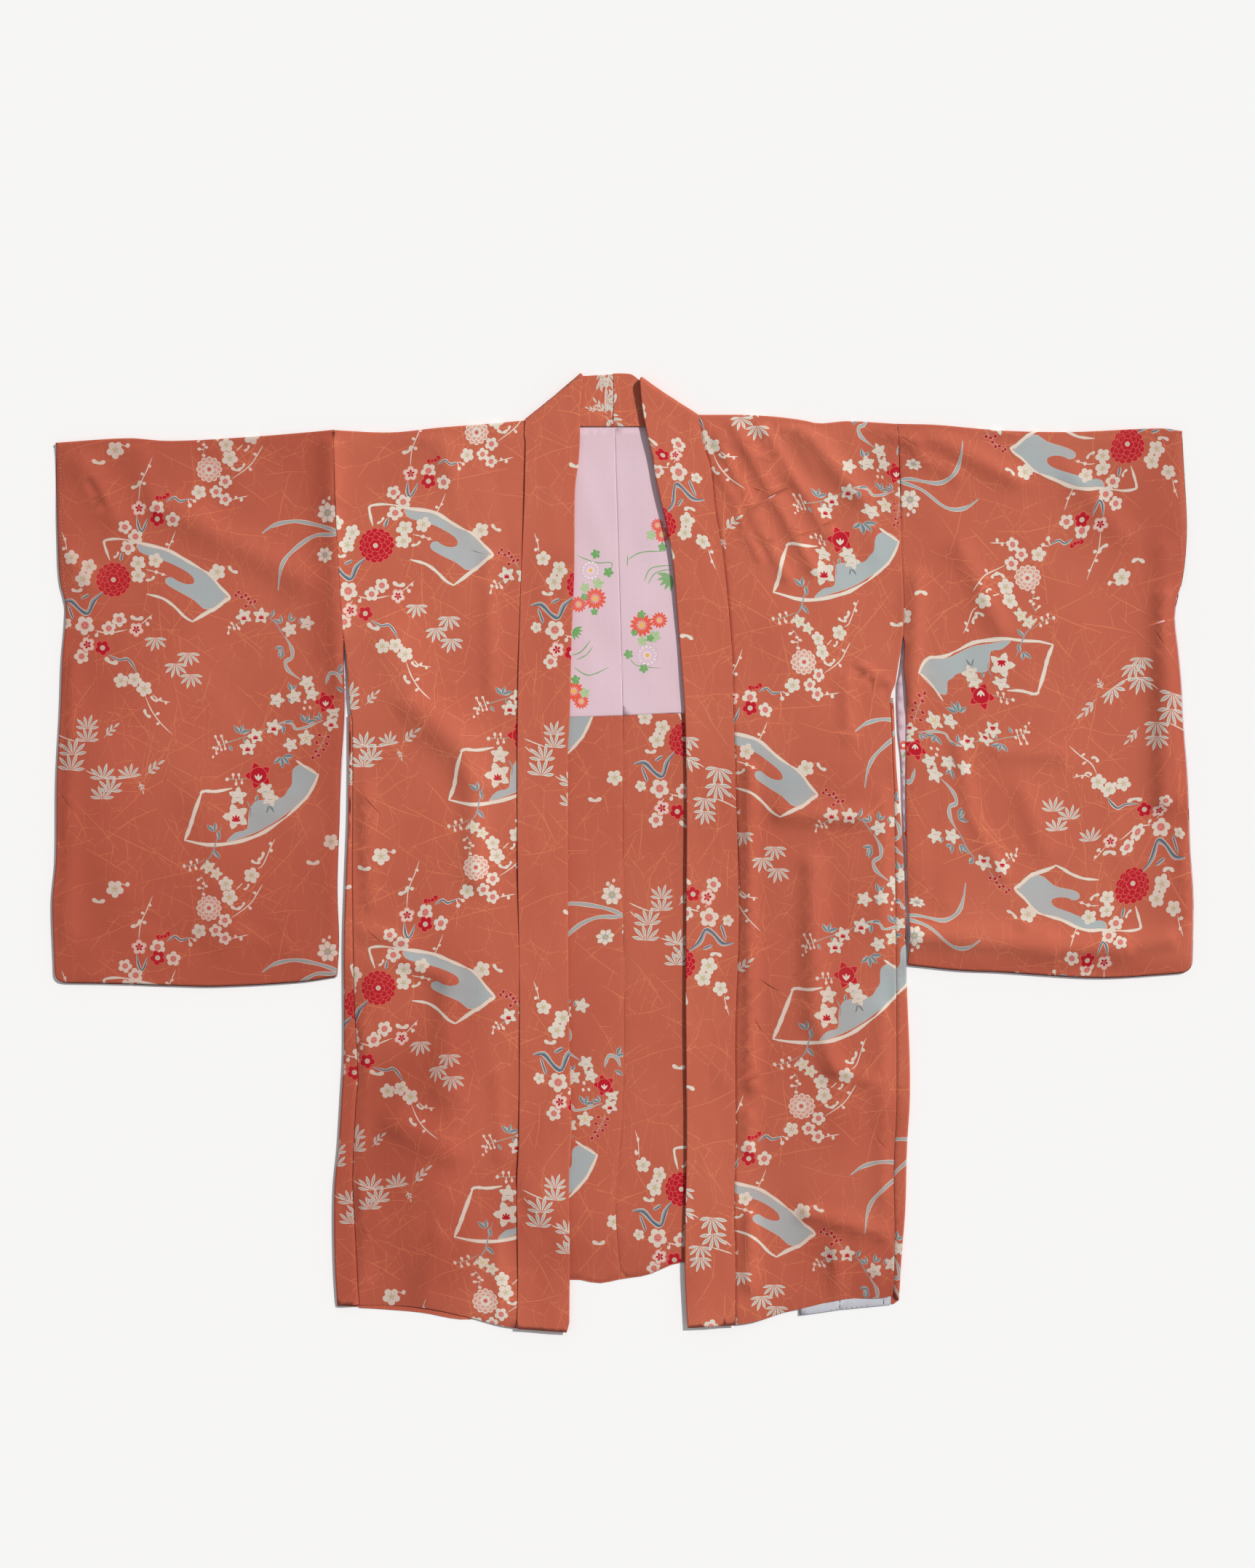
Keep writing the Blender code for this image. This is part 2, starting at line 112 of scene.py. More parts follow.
# Each side's measures. The furi is the sleeve's open edge below the armhole. A piece's print is x
# and y of a repeat's corner and whether the cloth lies turned, and its pins are rows of x, y and how
# far the print is drawn off there in x and y. Rows of "neck" and "turn" are x and y of the collar
# band's seam, x and y of its free edge, and how much higher that edge lies. Rows of "neck_leaves"
# are kind, how far below the centre back and how high across the band, size and lean.
LEFT = {
    "name": "left",
    "cuff_sewn": (270, 456),
    "seam_dip": (0.25, 0.8),
    "armhole_dip": 0.15,
    "inward": 1,
    "side_seam": (
        (-506, -294), (-408, -299), (-369, -301), (-292, -298), (-250, -295), (-169, -299), (-35, -301.3),
        (55, -301), (148, -301.5), (160, -303.9), (213, -307.9), (240, -311.3), (252, -312.2), (337, -317.5),
        (389, -320), (471, -322),
    ),
    "gusset_fold": (
        (-503, -318.5), (-461, -321), (-408, -322), (-369, -321), (-329, -317), (-264, -313),
        (-224, -311), (-100, -311), (-35, -309), (49, -306), (152, -305.5),
    ),
    "gusset_top": 152,
    "collar_seam": (
        (-531, -118), (-474, -117), (-369, -118), (-329, -116), (-169, -115), (29, -117.5), (171, -117),
        (287, -114), (386, -110), (481, -108),
    ),
    "collar_edge": (
        (-535, -59.5), (-435, -59), (-369, -60), (-308, -57), (-250, -58.5), (-169, -60), (-74, -61),
        (114, -61), (150, -59), (237, -57), (312, -54), (406, -53), (436, -49), (474, -47),
    ),
    "front_hem": (
        (-318, -503), (-295, -506), (-258, -506.5), (-221, -509), (-179, -518), (-131, -530), (-87, -535),
        (-60, -535),
    ),
    "shoulder": ((-322, 470), (-258, 467.5), (-203, 473), (-151, 477), (-108, 481)),
    "front_furi": (
        (-139, -319), (-100, -317), (-36, -319), (29, -316.5), (90, -315), (158, -311), (228, -311.5),
    ),
    "back_furi": ((-139, -319), (29, -316.5), (120, -311.5), (165, -309.2), (200, -308.9), (228, -310.6)),
    "sleeve_outer": (
        (-148, -634), (-134, -633.5), (-56, -636), (-10, -632), (81, -631), (158, -627), (213, -625),
        (272, -621), (302, -627), (349, -629), (411, -631), (456, -632),
    ),
    "sleeve_top": ((-632, 456), (-551, 461), (-506, 458), (-422, 462), (-347, 468), (-322, 470.5)),
    "sleeve_bottom": ((-636, -146), (-567, -147), (-503, -149), (-454, -150), (-361, -145), (-319, -139)),
    "cuff_end": 275,
    "cuff_peek": 1.5,
    "body_print": (-341.8, 503.0, False),
    # How much darker the sleeve is painted, for deeper dye and painted shade, from 0 to 1.
    "sleeve_dye_and_shade_depth": 1.0,
    "sleeve_print": (-631.8, 462.5, False),
    "gusset_print": (-357.7, 483.3, False),
    "band_print": (-117.0, 469.0, False),
    "band_start": -117.0,
    "facing_print": (-328.9, 520.0, False),
    "facing_edge": -130.0,
    "lining_side": ((150, -111), (330, -108), (472, -101)),
    "neck": (
        (-10.7, 474.1, -10.7, 532.4, 0.0),
        (-45.0, 474.1, -22.0, 531.8, 0.0),
        (-75.0, 474.2, -33.0, 531.2, 0.0),
        (-105.6, 477.6, -44.0, 530.8, 0.0),
    ),
    "turn": (
        (-108.9, 479.4, -44.6, 530.6, 2.5),
        (-109.6, 464.0, -47.2, 490.0, 1.0),
    ),
    "band_slant": (-4.0, 0.0),
    "body_pins": (
        (-246, 418, 10, 3), (-225, 406, 9, 7), (-250, 386, 5, 3), (-274, 338, -1, 2.5), (-146, 320, 0, 12),
        (-228, 274, -2, 1), (-191, 257, -3, 5), (-188, 233, -3, 4), (-176, 103, -3, 11),
        (-138, 74, -1.5, 10.6), (-193, 47, 1, 9.5), (-272, -6, 3, 0.7), (-169, -28, 4.4, 10.2),
        (-150, -41, 5, 11), (-179, -54, 6, 8.7), (-220, -59, 5.5, 5.5), (-246, -71, 5.8, 0),
        (-226, -83, 5.5, 1.8), (-261, -92, 1.8, -1), (-146, -171, 1.8, 8.4), (-158, -145, 1.5, 10.9),
        (-274, -151, 2.2, -1.5), (-285, 122, -3, 0), (-228, 131, -7, 0), (-249, -206, 3, -2),
        (-286, -226, 2, -7), (-228, -220, 2.6, 3.7), (-191, -237, -2.6, 6.7), (-265, -262, 4, -3.7),
        (-240, -271, 3.7, -0.7), (-288, -367, 4.8, -4), (-257, -365, 5.2, -2), (-175, -387, 8.6, 11.9),
        (-193, -441, 7.5, 12.3), (-138, -415, 7.8, 10), (-272, -494, 14.5, -1.5), (-148, -492, 14.5, 13),
        (-168, -515, 15, 16),
    ),
    "sleeve_pins": ((-587, 52, -3, 5), (-507, -108, -3, 5)),
    "band_pins": (
        (-59, 437, 5.4, -5.4), (-92, 331, 2.7, -2.3), (-60, 303, 2.7, -6.8), (-80, 253, 4, -5.9),
        (-85, 219, 4, -6.8), (-79, 140, 1.5, -7.3), (-96, 112, 6.6, -6.6), (-95, -161, 5.5, -12),
        (-76, -173, 8.4, -12.8), (-80, -237, 7.5, -19.4), (-84, -271, 6.7, -19.7), (-78, -346, 3.7, -21.6),
        (-96, -374, 4.8, -20.5), (-65, -405, 0, -15),
    ),
    "facing_pins": (
        (-34, 138, 0, 15), (-19, 62, 10, 19), (-40, 41, 8, 17.7), (-23, -59, 11, 10.5), (-61, -100, 1.7, 10),
        (-47, -180, 0, 10), (-25, -269, 4.5, 8.6), (-47, -247, 4.8, 12.3), (-34, -351, 4.8, 12.3),
        (-40, -447, 12.7, 12.3), (-20, -424, 9.3, 12.3),
    ),
    "neck_leaves": (
        ("tuft", 14, 52, 21, 0.1), ("sprig", 2, 10, 22, 3.0), ("sprig", 2, 29, 20, 3.0),
        ("sprig", 5, 14, 16, -2.2),
    ),
}
RIGHT = {
    "name": "right",
    "cuff_sewn": (290, 469),
    "seam_dip": (1.1, 1.9),
    "armhole_dip": 0.4,
    "inward": -1,
    "side_seam": (
        (-497, 302), (-423, 303), (-352, 302), (-280, 305), (-83, 304), (60, 302.4), (110, 300.5),
        (150, 299), (172, 297.8), (185, 303.4), (205, 306.5), (225, 310.2), (240, 312), (252, 312.9),
        (279, 313), (330, 311), (382, 310), (446, 308), (477, 305.5),
    ),
    "gusset_fold": (
        (-494, 308), (-447, 311), (-399, 315), (-328, 317), (-280, 320), (-233, 320), (-145, 316.6),
        (-55, 314.9), (0, 312.8), (50, 308.6), (110, 304), (171, 302.1),
    ),
    "gusset_top": 171,
    "collar_seam": (
        (-528, 125.5), (-447, 125.5), (-399, 124), (-316, 126), (-202, 125.5), (-83, 129.5), (-35, 129),
        (106, 125), (167, 123), (221, 122), (328, 112), (382, 103), (428, 98), (452, 90), (487, 83),
    ),
    "collar_edge": (
        (-531, 72), (-459, 69), (-333, 71), (-154, 70), (60, 71), (155, 69), (241, 62.5), (328, 55),
        (370, 47), (414, 37), (444, 32), (470, 26), (510, 21),
    ),
    "front_hem": (
        (72, -532), (125, -528), (150, -524), (183, -513.5), (202, -510), (245, -500), (290, -498),
        (308, -494),
    ),
    "shoulder": ((83, 487), (134, 487), (170, 485), (201, 481), (219, 477.5), (250, 480), (305, 477)),
    "front_furi": (
        (-126, 317.5), (-90, 319.5), (-35, 316.8), (83, 315.5), (175, 316), (205, 312.8), (228, 314),
    ),
    "back_furi": (
        (-126, 318), (-55, 316), (0, 314), (50, 311.3), (104, 309.8), (135, 306.5), (185, 305.2), (198, 308),
        (225, 311.4),
    ),
    "sleeve_outer": (
        (-136, 634), (-123, 634.5), (-50, 635.5), (3, 632), (83, 629), (148, 624), (190, 622), (222, 619),
        (267, 615), (301, 623), (334, 627), (371, 628), (438, 624.5), (469, 623),
    ),
    "sleeve_top": ((305, 477), (348, 476), (393, 472), (432, 469), (502, 468), (601, 472), (623, 469)),
    "sleeve_bottom": ((317, -126), (374, -132), (421, -134), (511, -140), (552, -140), (636, -134)),
    "cuff_end": 284,
    "cuff_peek": 0.0,
    "body_print": (19.4, 739.5, False),
    # How much darker the sleeve is painted, for deeper dye and painted shade, from 0 to 1.
    "sleeve_dye_and_shade_depth": 0.1,
    "sleeve_print": (629.4, 291.6, True),
    "gusset_print": (43.0, 757.0, False),
    "band_print": (125.0, 206.6, True),
    "band_start": 125.0,
    "facing_print": (-4.05, 286.7, False),
    "facing_edge": 136.0,
    "lining_side": ((150, 116), (330, 106), (400, 92), (472, 76)),
    "neck": (
        (-10.3, 474.1, -10.3, 533.4, 0.0),
        (20.0, 474.1, 0.0, 533.4, 0.0),
        (48.0, 475.6, 10.0, 532.2, 0.0),
        (81.6, 483.0, 18.6, 526.0, 0.0),
    ),
    "turn": (
        (84.2, 484.6, 18.8, 526.2, 6.5),
        (87.4, 468.0, 21.2, 498.0, 4.5),
    ),
    "band_slant": (-3.0, 12.0),
    "body_pins": (
        (156, 481, -24.7, 2.8), (173, 469, -23, 5), (121, 453, -21.7, -2), (323, 439, -18.7, -17),
        (269, 441, -18, -12), (265, 410, -15, -10), (245, 401, -12, -9), (290, 373, -4.5, -13),
        (248, 357, -6, -9.5), (185, 337, -2, 4), (223, 311, 1, 0), (166, 284, 1.4, 4.3),
        (193, 209, 8.7, 2.3), (136, 153, 5.9, 6.4), (253, 138, 6, -3.8), (271, 74, -0.8, -2.7),
        (217, 65, 0, -3), (202, 95, 1.5, -1.5), (233, 44, 0, -4.2), (251, 45, 1, -6.9), (283, 30, 2, -4.2),
        (171, -1, -0.8, 1), (269, -49, 0, -4.6), (288, -44, 0, -7.6), (265, -79, 0, -4.6),
        (236, -104, 0, -3.8), (248, -132, 0.4, -5.7), (185, -150, 3.8, -2.7), (225, -155, 3.4, -4.6),
        (167, -203, 0.7, -4.5), (192, -235, 7.5, -2.6), (241, -243, 7.5, -6), (212, -253, 9.3, -3.7),
        (192, -280, 5.2, -3.7), (210, -293, 6.7, -3.7), (182, -305, 5.6, -4.1), (135, -334, 4.5, -6.7),
        (253, -351, 1, -9), (270, -414, -1, -10), (203, -394, -3, -6.7), (216, -423, -2.6, -3),
        (173, -449, -3.7, -1.9), (251, -443, -1.5, -4.8), (283, -459, -3, -8.2), (170, -489, -1.5, 1.9),
    ),
    "sleeve_pins": (
        (323, 382, -3.6, 10.7), (379, 466, 0, -10.7), (396, 404, 0, -11.8), (438, 480, 0, -28),
        (447, 448, 1.8, -25), (428, 445, 2.5, -22), (562, 456, 0, -1.4), (534, 452, 0, -10.7),
        (515, 436, 0.7, -16), (545, 420, 0, -7.2), (537, 408, 1, -10), (512, 388, -1.4, -19),
        (495, 390, -0.7, -22.6), (533, 377, -1.8, -11.5), (505, 364, -0.7, -21.5), (466, 358, -3.6, -28),
        (455, 334, -4.7, -28.7), (434, 314, -6, -26), (407, 297, -7, -16.8), (559, 312, -4, -6.4),
        (578, 325, -4.3, 0), (340, 282, -7.9, 6), (452, 291, -3.6, -33), (482, 258, -2.9, -27),
        (335, 186, -4.3, 15), (464, 202, -1, -27.6), (425, 232, -3.6, -24), (386, 210, 0, -12),
        (571, 197, 4, 5.5), (400, 182, -1.8, -10.7), (325, 103, 0, 12.5), (413, 155, 0, -19.7),
        (384, 132, 0.7, -10.7), (447, 151, 1.8, -21.5), (341, 95, 0.7, 6.4), (360, 98, 2.5, 2.9),
        (380, 101, 0.7, -9), (476, 78, 3.6, -28.7), (492, 65, 5.4, -25), (515, 37, 5.4, -20.8),
        (528, 89, 1.8, -10.7), (554, 80, 4.3, -3.6), (500, 137, 0, -21.5), (574, 43, 7.2, 4.3),
        (537, 22, 6.4, -10.7), (593, 19, 6, 10), (562, -33, 6.4, -1.8), (347, 16, 1.8, 2.9),
        (366, 22, 0.7, -5.4), (398, 8, 4.7, -19.7), (416, 9, 6, -26), (474, 13, 9, -29.7),
        (433, -13, 4.7, -28.7), (446, -42, 5.4, -29), (534, -45, 5.5, -15), (516, -55, 4, -19.7),
        (545, -69, 3.6, -10.7), (537, -81, 2.9, -14.3), (548, -92, 4.3, -7.9), (512, -100, 4.7, -22),
        (533, -113, 2.5, -10.7), (379, -22, 3.6, -14), (396, -87, 1, -13.6), (326, -107, 0.7, 14.3),
    ),
    "band_pins": (
        (73, 458, 2.7, -16.8), (93, 463, 2.7, -8.6), (89, 429, -1.8, -5.9), (96, 406, -6, -5.4),
        (103, 351, 0, -4.5), (70, 383, 0, -16), (102, 92, 1.7, -3.4), (87, 61, 3.4, -6.8),
        (70, -37, 4.4, -9.2), (92, -31, 4, -5.8), (89, -64, 2, -8.8), (68, -114, 1, -10),
        (101, -142, 2.7, -11), (74, -249, -2, -15), (103, -401, -4.5, -12.3), (100, -417, 0, -14),
        (86, -447, 0, -10), (93, -521, 4.8, -6.3),
    ),
    "facing_pins": (
        (16, 145, 7.8, 2.7), (36, 137, 8.5, 1.4), (58, 121, 5, 3.4), (31, 71, 9.5, -1), (50, 46, 9.5, -1.7),
        (34, -36, 8.5, -8.5), (16, -82, 9.5, -9.2), (50, -95, 8, -4), (46, -235, 15.6, -4.8),
        (5, -315, 8, 2.6), (16, -342, 5.6, -8.2), (60, -366, 1.9, -10), (31, -416, 7.5, -13.4),
        (50, -441, 6.3, -13),
    ),
    "neck_leaves": (("sprig", 0, 14, 30, 2.9),),
}
# Heights at which edges meet: the armhole's lower end, where the collar band starts to turn over
# the shoulder, the top and the foot of the side, of the collar seam, of the centre seam, of the
# sleeve and of the furi, and the top of the lining.
ARMHOLE_END = 240
NECK_TURN_Y = 456.0
SIDE_ENDS = (-505.0, 470.0)
COLLAR_SEAM_ENDS = (-530.0, 480.0)
CENTRE_ENDS = (-480.0, 474.0)
SLEEVE_ENDS = (-140.0, 460.0)
FURI_TOP = 228.0
LINING_TOP = 472.6
SLEEVE_CORNER = 13.0
LINING_HEM = ((-116, 149.4), (-59, 150), (0, 152), (69, 155), (124, 155.5))
FURI_LINING_WIDTH = 55.0
FURI_LINING_FOOT = -112.0
HEM_BAND_FOOT = ((197, -517.5), (242, -511.5), (299, -505.5))
HEM_BAND_ENDS = (197.0, 299.0)
HEM_BAND_TOP = -462.0
HEM_BAND_SEAMS = (242.0, 291.0)

# Soft folds of the front layers: from x, y to x, y, the fold's half width and its height.
SOFT_FOLDS = (
    # The left sleeve, and the thick seam that joins it to the body.
    (-500, 380, -358, 304, 18, 5.0), (-602, 430, -566, 372, 14, 3.4), (-540, 452, -520, 384, 12, 2.0),
    (-620, 330, -596, 300, 12, 2.2), (-588, 120, -560, -60, 26, 2.2), (-470, 60, -440, -90, 24, 2.0),
    (-326, 455, -323, 395, 12, 4.2), (-323, 395, -317, 185, 9, 3.0), (-617, 200, -620, -90, 12, 2.5),
    # The left front.
    (-292, 474, -222, 466, 9, 2.8), (-198, 452, -192, 425, 10, 2.2), (-262, 240, -236, 166, 26, 5.0),
    (-236, 166, -182, 116, 20, 8.0), (-182, 116, -167, 74, 17, 7.4), (-167, 74, -163, -30, 14, 5.8),
    (-288, 60, -282, -50, 12, 2.8), (-302, -88, -242, -98, 9, 2.8), (-240, -122, -196, -140, 10, 3.4),
    (-195, -150, -196, -262, 16, 6.4), (-250, -302, -192, -334, 15, 5.6), (-296, -200, -300, -330, 12, 3.4),
    (-298, -380, -294, -480, 12, 3.4), (-206, -430, -220, -500, 13, 3.1), (-140, -250, -136, -340, 9, 2.0),
    (-150, 330, -146, 180, 9, 2.5), (-140, -440, -136, -520, 8, 2.2),
    (-222, -240, -214, -430, 45, 5.5),
    # The right front: rays from the collar, then the folds below the chest.
    (192, 480, 264, 396, 12, 5.9), (152, 480, 228, 356, 8, 3.6), (124, 476, 212, 316, 8, 3.9),
    (106, 458, 182, 304, 7, 3.4), (108, 424, 152, 326, 6, 2.5), (264, 488, 326, 456, 10, 5.0),
    (248, 190, 252, 130, 9, 2.8), (268, 206, 300, 184, 6, 2.5), (178, 42, 264, 38, 11, 5.6),
    (211, -16, 213, -185, 13, 7.4), (213, -185, 235, -240, 12, 5.6), (234, -240, 276, -256, 9, 3.4),
    (141, 90, 142, -260, 8, 5.6), (141, -405, 140, -485, 8, 5.0), (140, -295, 139, -330, 8, 3.6),
    (206, -403, 294, -426, 10, 5.3), (237, -446, 239, -504, 9, 5.6), (284, -468, 283, -503, 8, 3.4),
    (292, 60, 290, -120, 12, 2.2), (290, -180, 292, -380, 12, 2.8),
    # The right sleeve, from its top to the puffed fold above its foot.
    (346, 460, 434, 416, 12, 5.0), (330, 440, 372, 418, 9, 2.8), (327, 305, 323, 168, 9, 4.2),
    (376, 336, 420, 250, 11, 3.6), (374, 118, 388, 40, 9, 3.1), (388, 40, 424, -26, 9, 2.8),
    (420, 112, 488, 108, 11, 2.8), (446, 66, 468, 4, 12, 2.5), (602, 335, 602, 285, 12, 3.2),
    (602, 285, 602, 56, 12, 7.6), (620, 280, 620, 60, 11, 4.6), (628, 16, 634, -90, 9, 3.6),
    (318, -92, 400, -98, 14, 9.0), (400, -98, 480, -106, 14, 9.0), (480, -106, 560, -106, 13, 8.4),
    (560, -106, 606, -98, 12, 6.6), (446, -84, 470, -90, 7, 2.2), (500, 420, 560, 350, 14, 2.2),
)

# Finer creases, ridges above nought and troughs below it, in the same columns.
CREASES = (
    (-593, 411, -580, 382, 5, -2.4), (-560, 452, -520, 380, 9, 0.7), (-470, 440, -430, 330, 12, -0.7),
    (-590, 250, -560, 120, 14, 0.6), (-500, 250, -420, 160, 13, -0.6), (-430, 60, -350, 20, 12, 0.6),
    (-560, -60, -470, -110, 10, -0.8), (-430, -90, -350, -120, 9, 0.8), (-520, -20, -440, -40, 11, 0.5),
    (-210, 455, -170, 350, 10, 0.9), (-150, 450, -125, 330, 8, -0.7), (-286, 90, -282, -60, 7, 0.8),
    (-270, -180, -240, -300, 10, 0.7), (-280, -380, -262, -480, 9, 0.8), (-220, -400, -205, -500, 9, -0.7),
    (92, 476, 216, 395, 7, 1.2), (175, 475, 216, 426, 6, 1.0), (255, 462, 282, 330, 9, 0.8),
    (262, 200, 296, 176, 5, -1.4), (240, -150, 236, -290, 9, 0.7), (160, -180, 156, -330, 8, -0.6),
    (262, -420, 270, -495, 8, 0.9), (150, -420, 146, -520, 8, 0.7), (345, 470, 450, 410, 8, 0.7),
    (612, 300, 606, 225, 5, -0.9), (360, -60, 420, -84, 8, 0.8), (500, 420, 560, 350, 11, 0.6),
    (380, 260, 470, 200, 12, -0.6), (540, 80, 560, -40, 11, 0.6), (350, 90, 345, -60, 8, -0.7),
)
# Broad, slight swells: how many millimetres from crest to crest in x and y, turn in phase, height.
SWELLS = (
    (260, 410, 0.4, 0.5),
    (-170, 230, 1.9, 0.45),
    (118, -190, 4.1, 0.4),
    (83, 140, 2.6, 0.3),
    (47, -71, 0.7, 0.12),
)

# Creases of the collar band and of the lining, in the columns of the soft folds.
BAND_CREASES = (
    (-100, 300, -70, 240, 9, 0.5), (-75, 60, -95, -20, 9, -0.4), (-105, -150, -72, -210, 9, 0.5),
    (-98, -380, -70, -430, 9, 0.5), (110, 380, 70, 340, 8, 0.6), (118, 200, 80, 150, 9, -0.5),
    (-122, -375, -95, -420, 8, -1.2), (-95, -400, -62, -375, 7, 1.0),
    (120, 40, 76, -20, 10, 0.5), (76, -200, 116, -260, 9, 0.5), (118, -420, 80, -470, 9, 0.5),
)
LINING_CREASES = (
    (-50, 440, -20, 330, 9, 0.35), (18, 430, 40, 320, 9, 0.35), (-45, 260, -30, 170, 8, 0.3),
    (45, 280, 30, 190, 9, 0.3), (5, 400, 12, 340, 7, -0.3),
)

# Where the colour is painted darker: partly deeper dye, partly painted shade on folds, seams and
# edges that face away from the light. Less dark below nought. In the columns of the soft folds,
# with a share in place of the height.
DYE_AND_SHADE_DEPTHS = (
    (-180, -140, -182, -230, 32, 0.6), (-182, -440, -184, -480, 30, 0.4), (-440, 300, -440, 130, 150, -0.65),
    (-240, 120, -230, -260, 60, 0.4), (-300, 260, -300, -160, 30, 0.35), (-240, 450, -240, 430, 40, 0.5),
    (-120, -340, -120, -410, 30, 0.4), (-90, 300, -90, -300, 40, 0.2), (300, -300, 300, -480, 25, 0.5),
    (300, 445, 300, 430, 40, 0.4), (610, 450, 610, -60, 35, 0.5), (550, 450, 540, 400, 60, 0.3),
    (150, 60, 190, -330, 60, 0.5), (190, -330, 200, -480, 60, 0.5), (240, 60, 250, -300, 45, 0.4),
    (-230, -260, -180, -400, 60, 0.6), (-305, -230, -312, -480, 25, 0.5), (-85, -420, -85, -530, 35, 0.4),
    (-60, -450, 60, -480, 40, 0.4), (-305, -150, -318, -490, 22, 0.8), (-290, -300, -240, -480, 60, 0.8),
    (-340, 455, -338, 220, 10, 0.5), (-628, 200, -632, -130, 12, 0.5), (235, -440, 290, -490, 40, 0.6),
    (320, -128, 620, -132, 12, 0.7),
)

# The lining's own print. Columns are kind, x, y, size and turn.
LINING_MOTIFS = (
    ("aster", -30.8, 282.0, 13.0, 0.1), ("aster", -49.3, 275.7, 9.5, 0.3), ("line", -35.8, 313.6, 11.0, 0.2),
    ("aster", -54.8, 179.0, 12.0, 0.2), ("aster", -46.3, 167.5, 9.0, 0.0), ("aster", 21.0, 252.6, 13.5, 0.1),
    ("aster", 40.8, 258.0, 9.5, 0.3), ("line", 27.4, 218.9, 12.0, 0.1), ("aster", 44.2, 353.6, 9.5, 0.2),
    ("aster", 38.8, 364.0, 8.0, 0.1), ("aster", -72.0, 400.0, 10.0, 0.2), ("aster", 72.0, 420.0, 10.0, 0.2),
    ("leaf", -30.3, 331.7, 9.0, 0.6), ("leaf", -16.0, 311.5, 9.5, 1.1), ("leaf", -31.6, 267.5, 7.0, 1.6),
    ("leaf", -52.6, 191.5, 9.0, 0.4), ("leaf", 21.0, 264.5, 8.0, 0.2), ("leaf", 6.3, 220.0, 9.0, 0.7),
    ("leaf", 23.2, 204.0, 8.5, 1.0), ("leaf", 44.2, 339.5, 8.5, 0.3), ("leaf", -43.0, 284.0, 7.0, 0.9),
    ("pale", -27.4, 298.9, 11.0, 0.2), ("pale", -42.0, 294.0, 10.0, 0.8), ("pale", -42.6, 177.0, 10.0, 0.5),
    ("pale", 35.8, 240.0, 11.5, 0.9), ("pale", 22.0, 235.0, 10.0, 0.3), ("pale", 31.5, 353.0, 10.0, 0.1),
    ("leaf", 30.5, 238.0, 7.5, 1.3), ("leaf", 13.0, 244.0, 6.5, 0.5),
    ("tuft", -56.0, 247.0, 17.0, -0.5), ("tuft", 55.0, 307.0, 25.0, -2.5),
)
# Stems and grass of the lining: width and points.
LINING_STEMS = (
    (1.0, ((-51.4, 330.5), (-42, 326.4), (-27.5, 322), (-12.6, 322), (-14, 312))),
    (1.2, ((-56.9, 218.9), (-46.3, 223), (-35.8, 235.7))),
    (1.1, ((-52, 214), (-41, 219), (-33, 229))),
    (1.2, ((-54.8, 206), (-37.9, 196.5), (-14.7, 206))),
    (1.2, ((5.5, 325.6), (21, 333.8), (46.4, 334.7))),
    (1.3, ((24, 301), (31.6, 315.9), (56, 319.5))),
    (1.2, ((28, 298), (37, 311), (56, 315))),
    (1.0, ((6.3, 217), (14, 208.5), (24, 206), (43.5, 204.5))),
    (1.0, ((5.5, 331), (5, 318))),
)
FURI_MOTIFS = (
    ("bloom", 313.0, 118.3, 5.5, 0.2), ("leaf", 312.0, 104.0, 8, 1.2), ("leaf", 312.0, 86.0, 8, 1.9),
    ("bloom", -310.0, 183.0, 4.0, 0.2), ("leaf", -311.0, 190.0, 7, 1.0), ("bloom", 318.0, 20.0, 5.0, 0.6),
)

# Paints of the print, as sRGB.
PAINTS = {
    "ground": "#C4644C",
    "frost": "#DE835C",
    "line": "#A9A291",
    "ivory": "#E2D8C9",
    "cream": "#EADCCD",
    "stamen": "#CBC2AA",
    "pollen": "#D9BC62",
    "rose": "#DD8A7F",
    "brick": "#C2574F",
    "blush": "#EBC3B4",
    "petal_pink": "#E6CFC4",
    "coral_pale": "#E58F7E",
    "scarlet": "#BE0A24",
    "crimson": "#A3172A",
    "coral": "#DF6A5C",
    "mist": "#A9B0AE",
    "fan": "#AEB8B9",
    "branch": "#9AA1A2",
    "slate": "#54697A",
    "leaf": "#75868C",
    "leaf_pale": "#A8B1B0",
    "petal_rose": "#DFA393",
    "bamboo": "#DDD7CA",
    "vein": "#B4B3AC",
    "lining": "#DDBFC9",
    "lining_line": "#B7A6AF",
    "lining_white": "#EFE3E8",
    "lining_orange": "#E4573C",
    "lining_gold": "#E8B45A",
    "lining_green": "#6FA75F",
    "lining_pale": "#AFC494",
}


def linear(code):
    """An sRGB hex colour as linear red, green and blue."""
    channels = [int(code[at : at + 2], 16) / 255 for at in (1, 3, 5)]
    return [c / 12.92 if c <= 0.04045 else ((c + 0.055) / 1.055) ** 2.4 for c in channels]


PAINT_COLOURS = {name: linear(code) for name, code in PAINTS.items()}


def mix(a, b, share):
    """What lies a share of the way from a to b."""
    return a + (b - a) * share


def curve(table, at):
    """Values of the smooth curve through rows of (at, value), at one place or at many."""
    places, values = np.array(table, float).T
    steps = np.diff(places)
    slopes = np.empty(len(places))
    slopes[1:-1] = (values[2:] - values[:-2]) / (places[2:] - places[:-2])
    slopes[0] = (values[1] - values[0]) / steps[0]
    slopes[-1] = (values[-1] - values[-2]) / steps[-1]
    at = np.clip(at, places[0], places[-1])
    lower = np.clip(np.searchsorted(places, at, side="right") - 1, 0, len(steps) - 1)
    step = steps[lower]
    t = (at - places[lower]) / step
    ease = t * t * (3 - 2 * t)
    level = mix(values[lower], values[lower + 1], ease)
    return level + step * (slopes[lower] * t * (1 - t) ** 2 - slopes[lower + 1] * t * t * (1 - t))


def moved(table, by):
    """An edge moved sideways."""
    return tuple((at, value + by) for at, value in table)


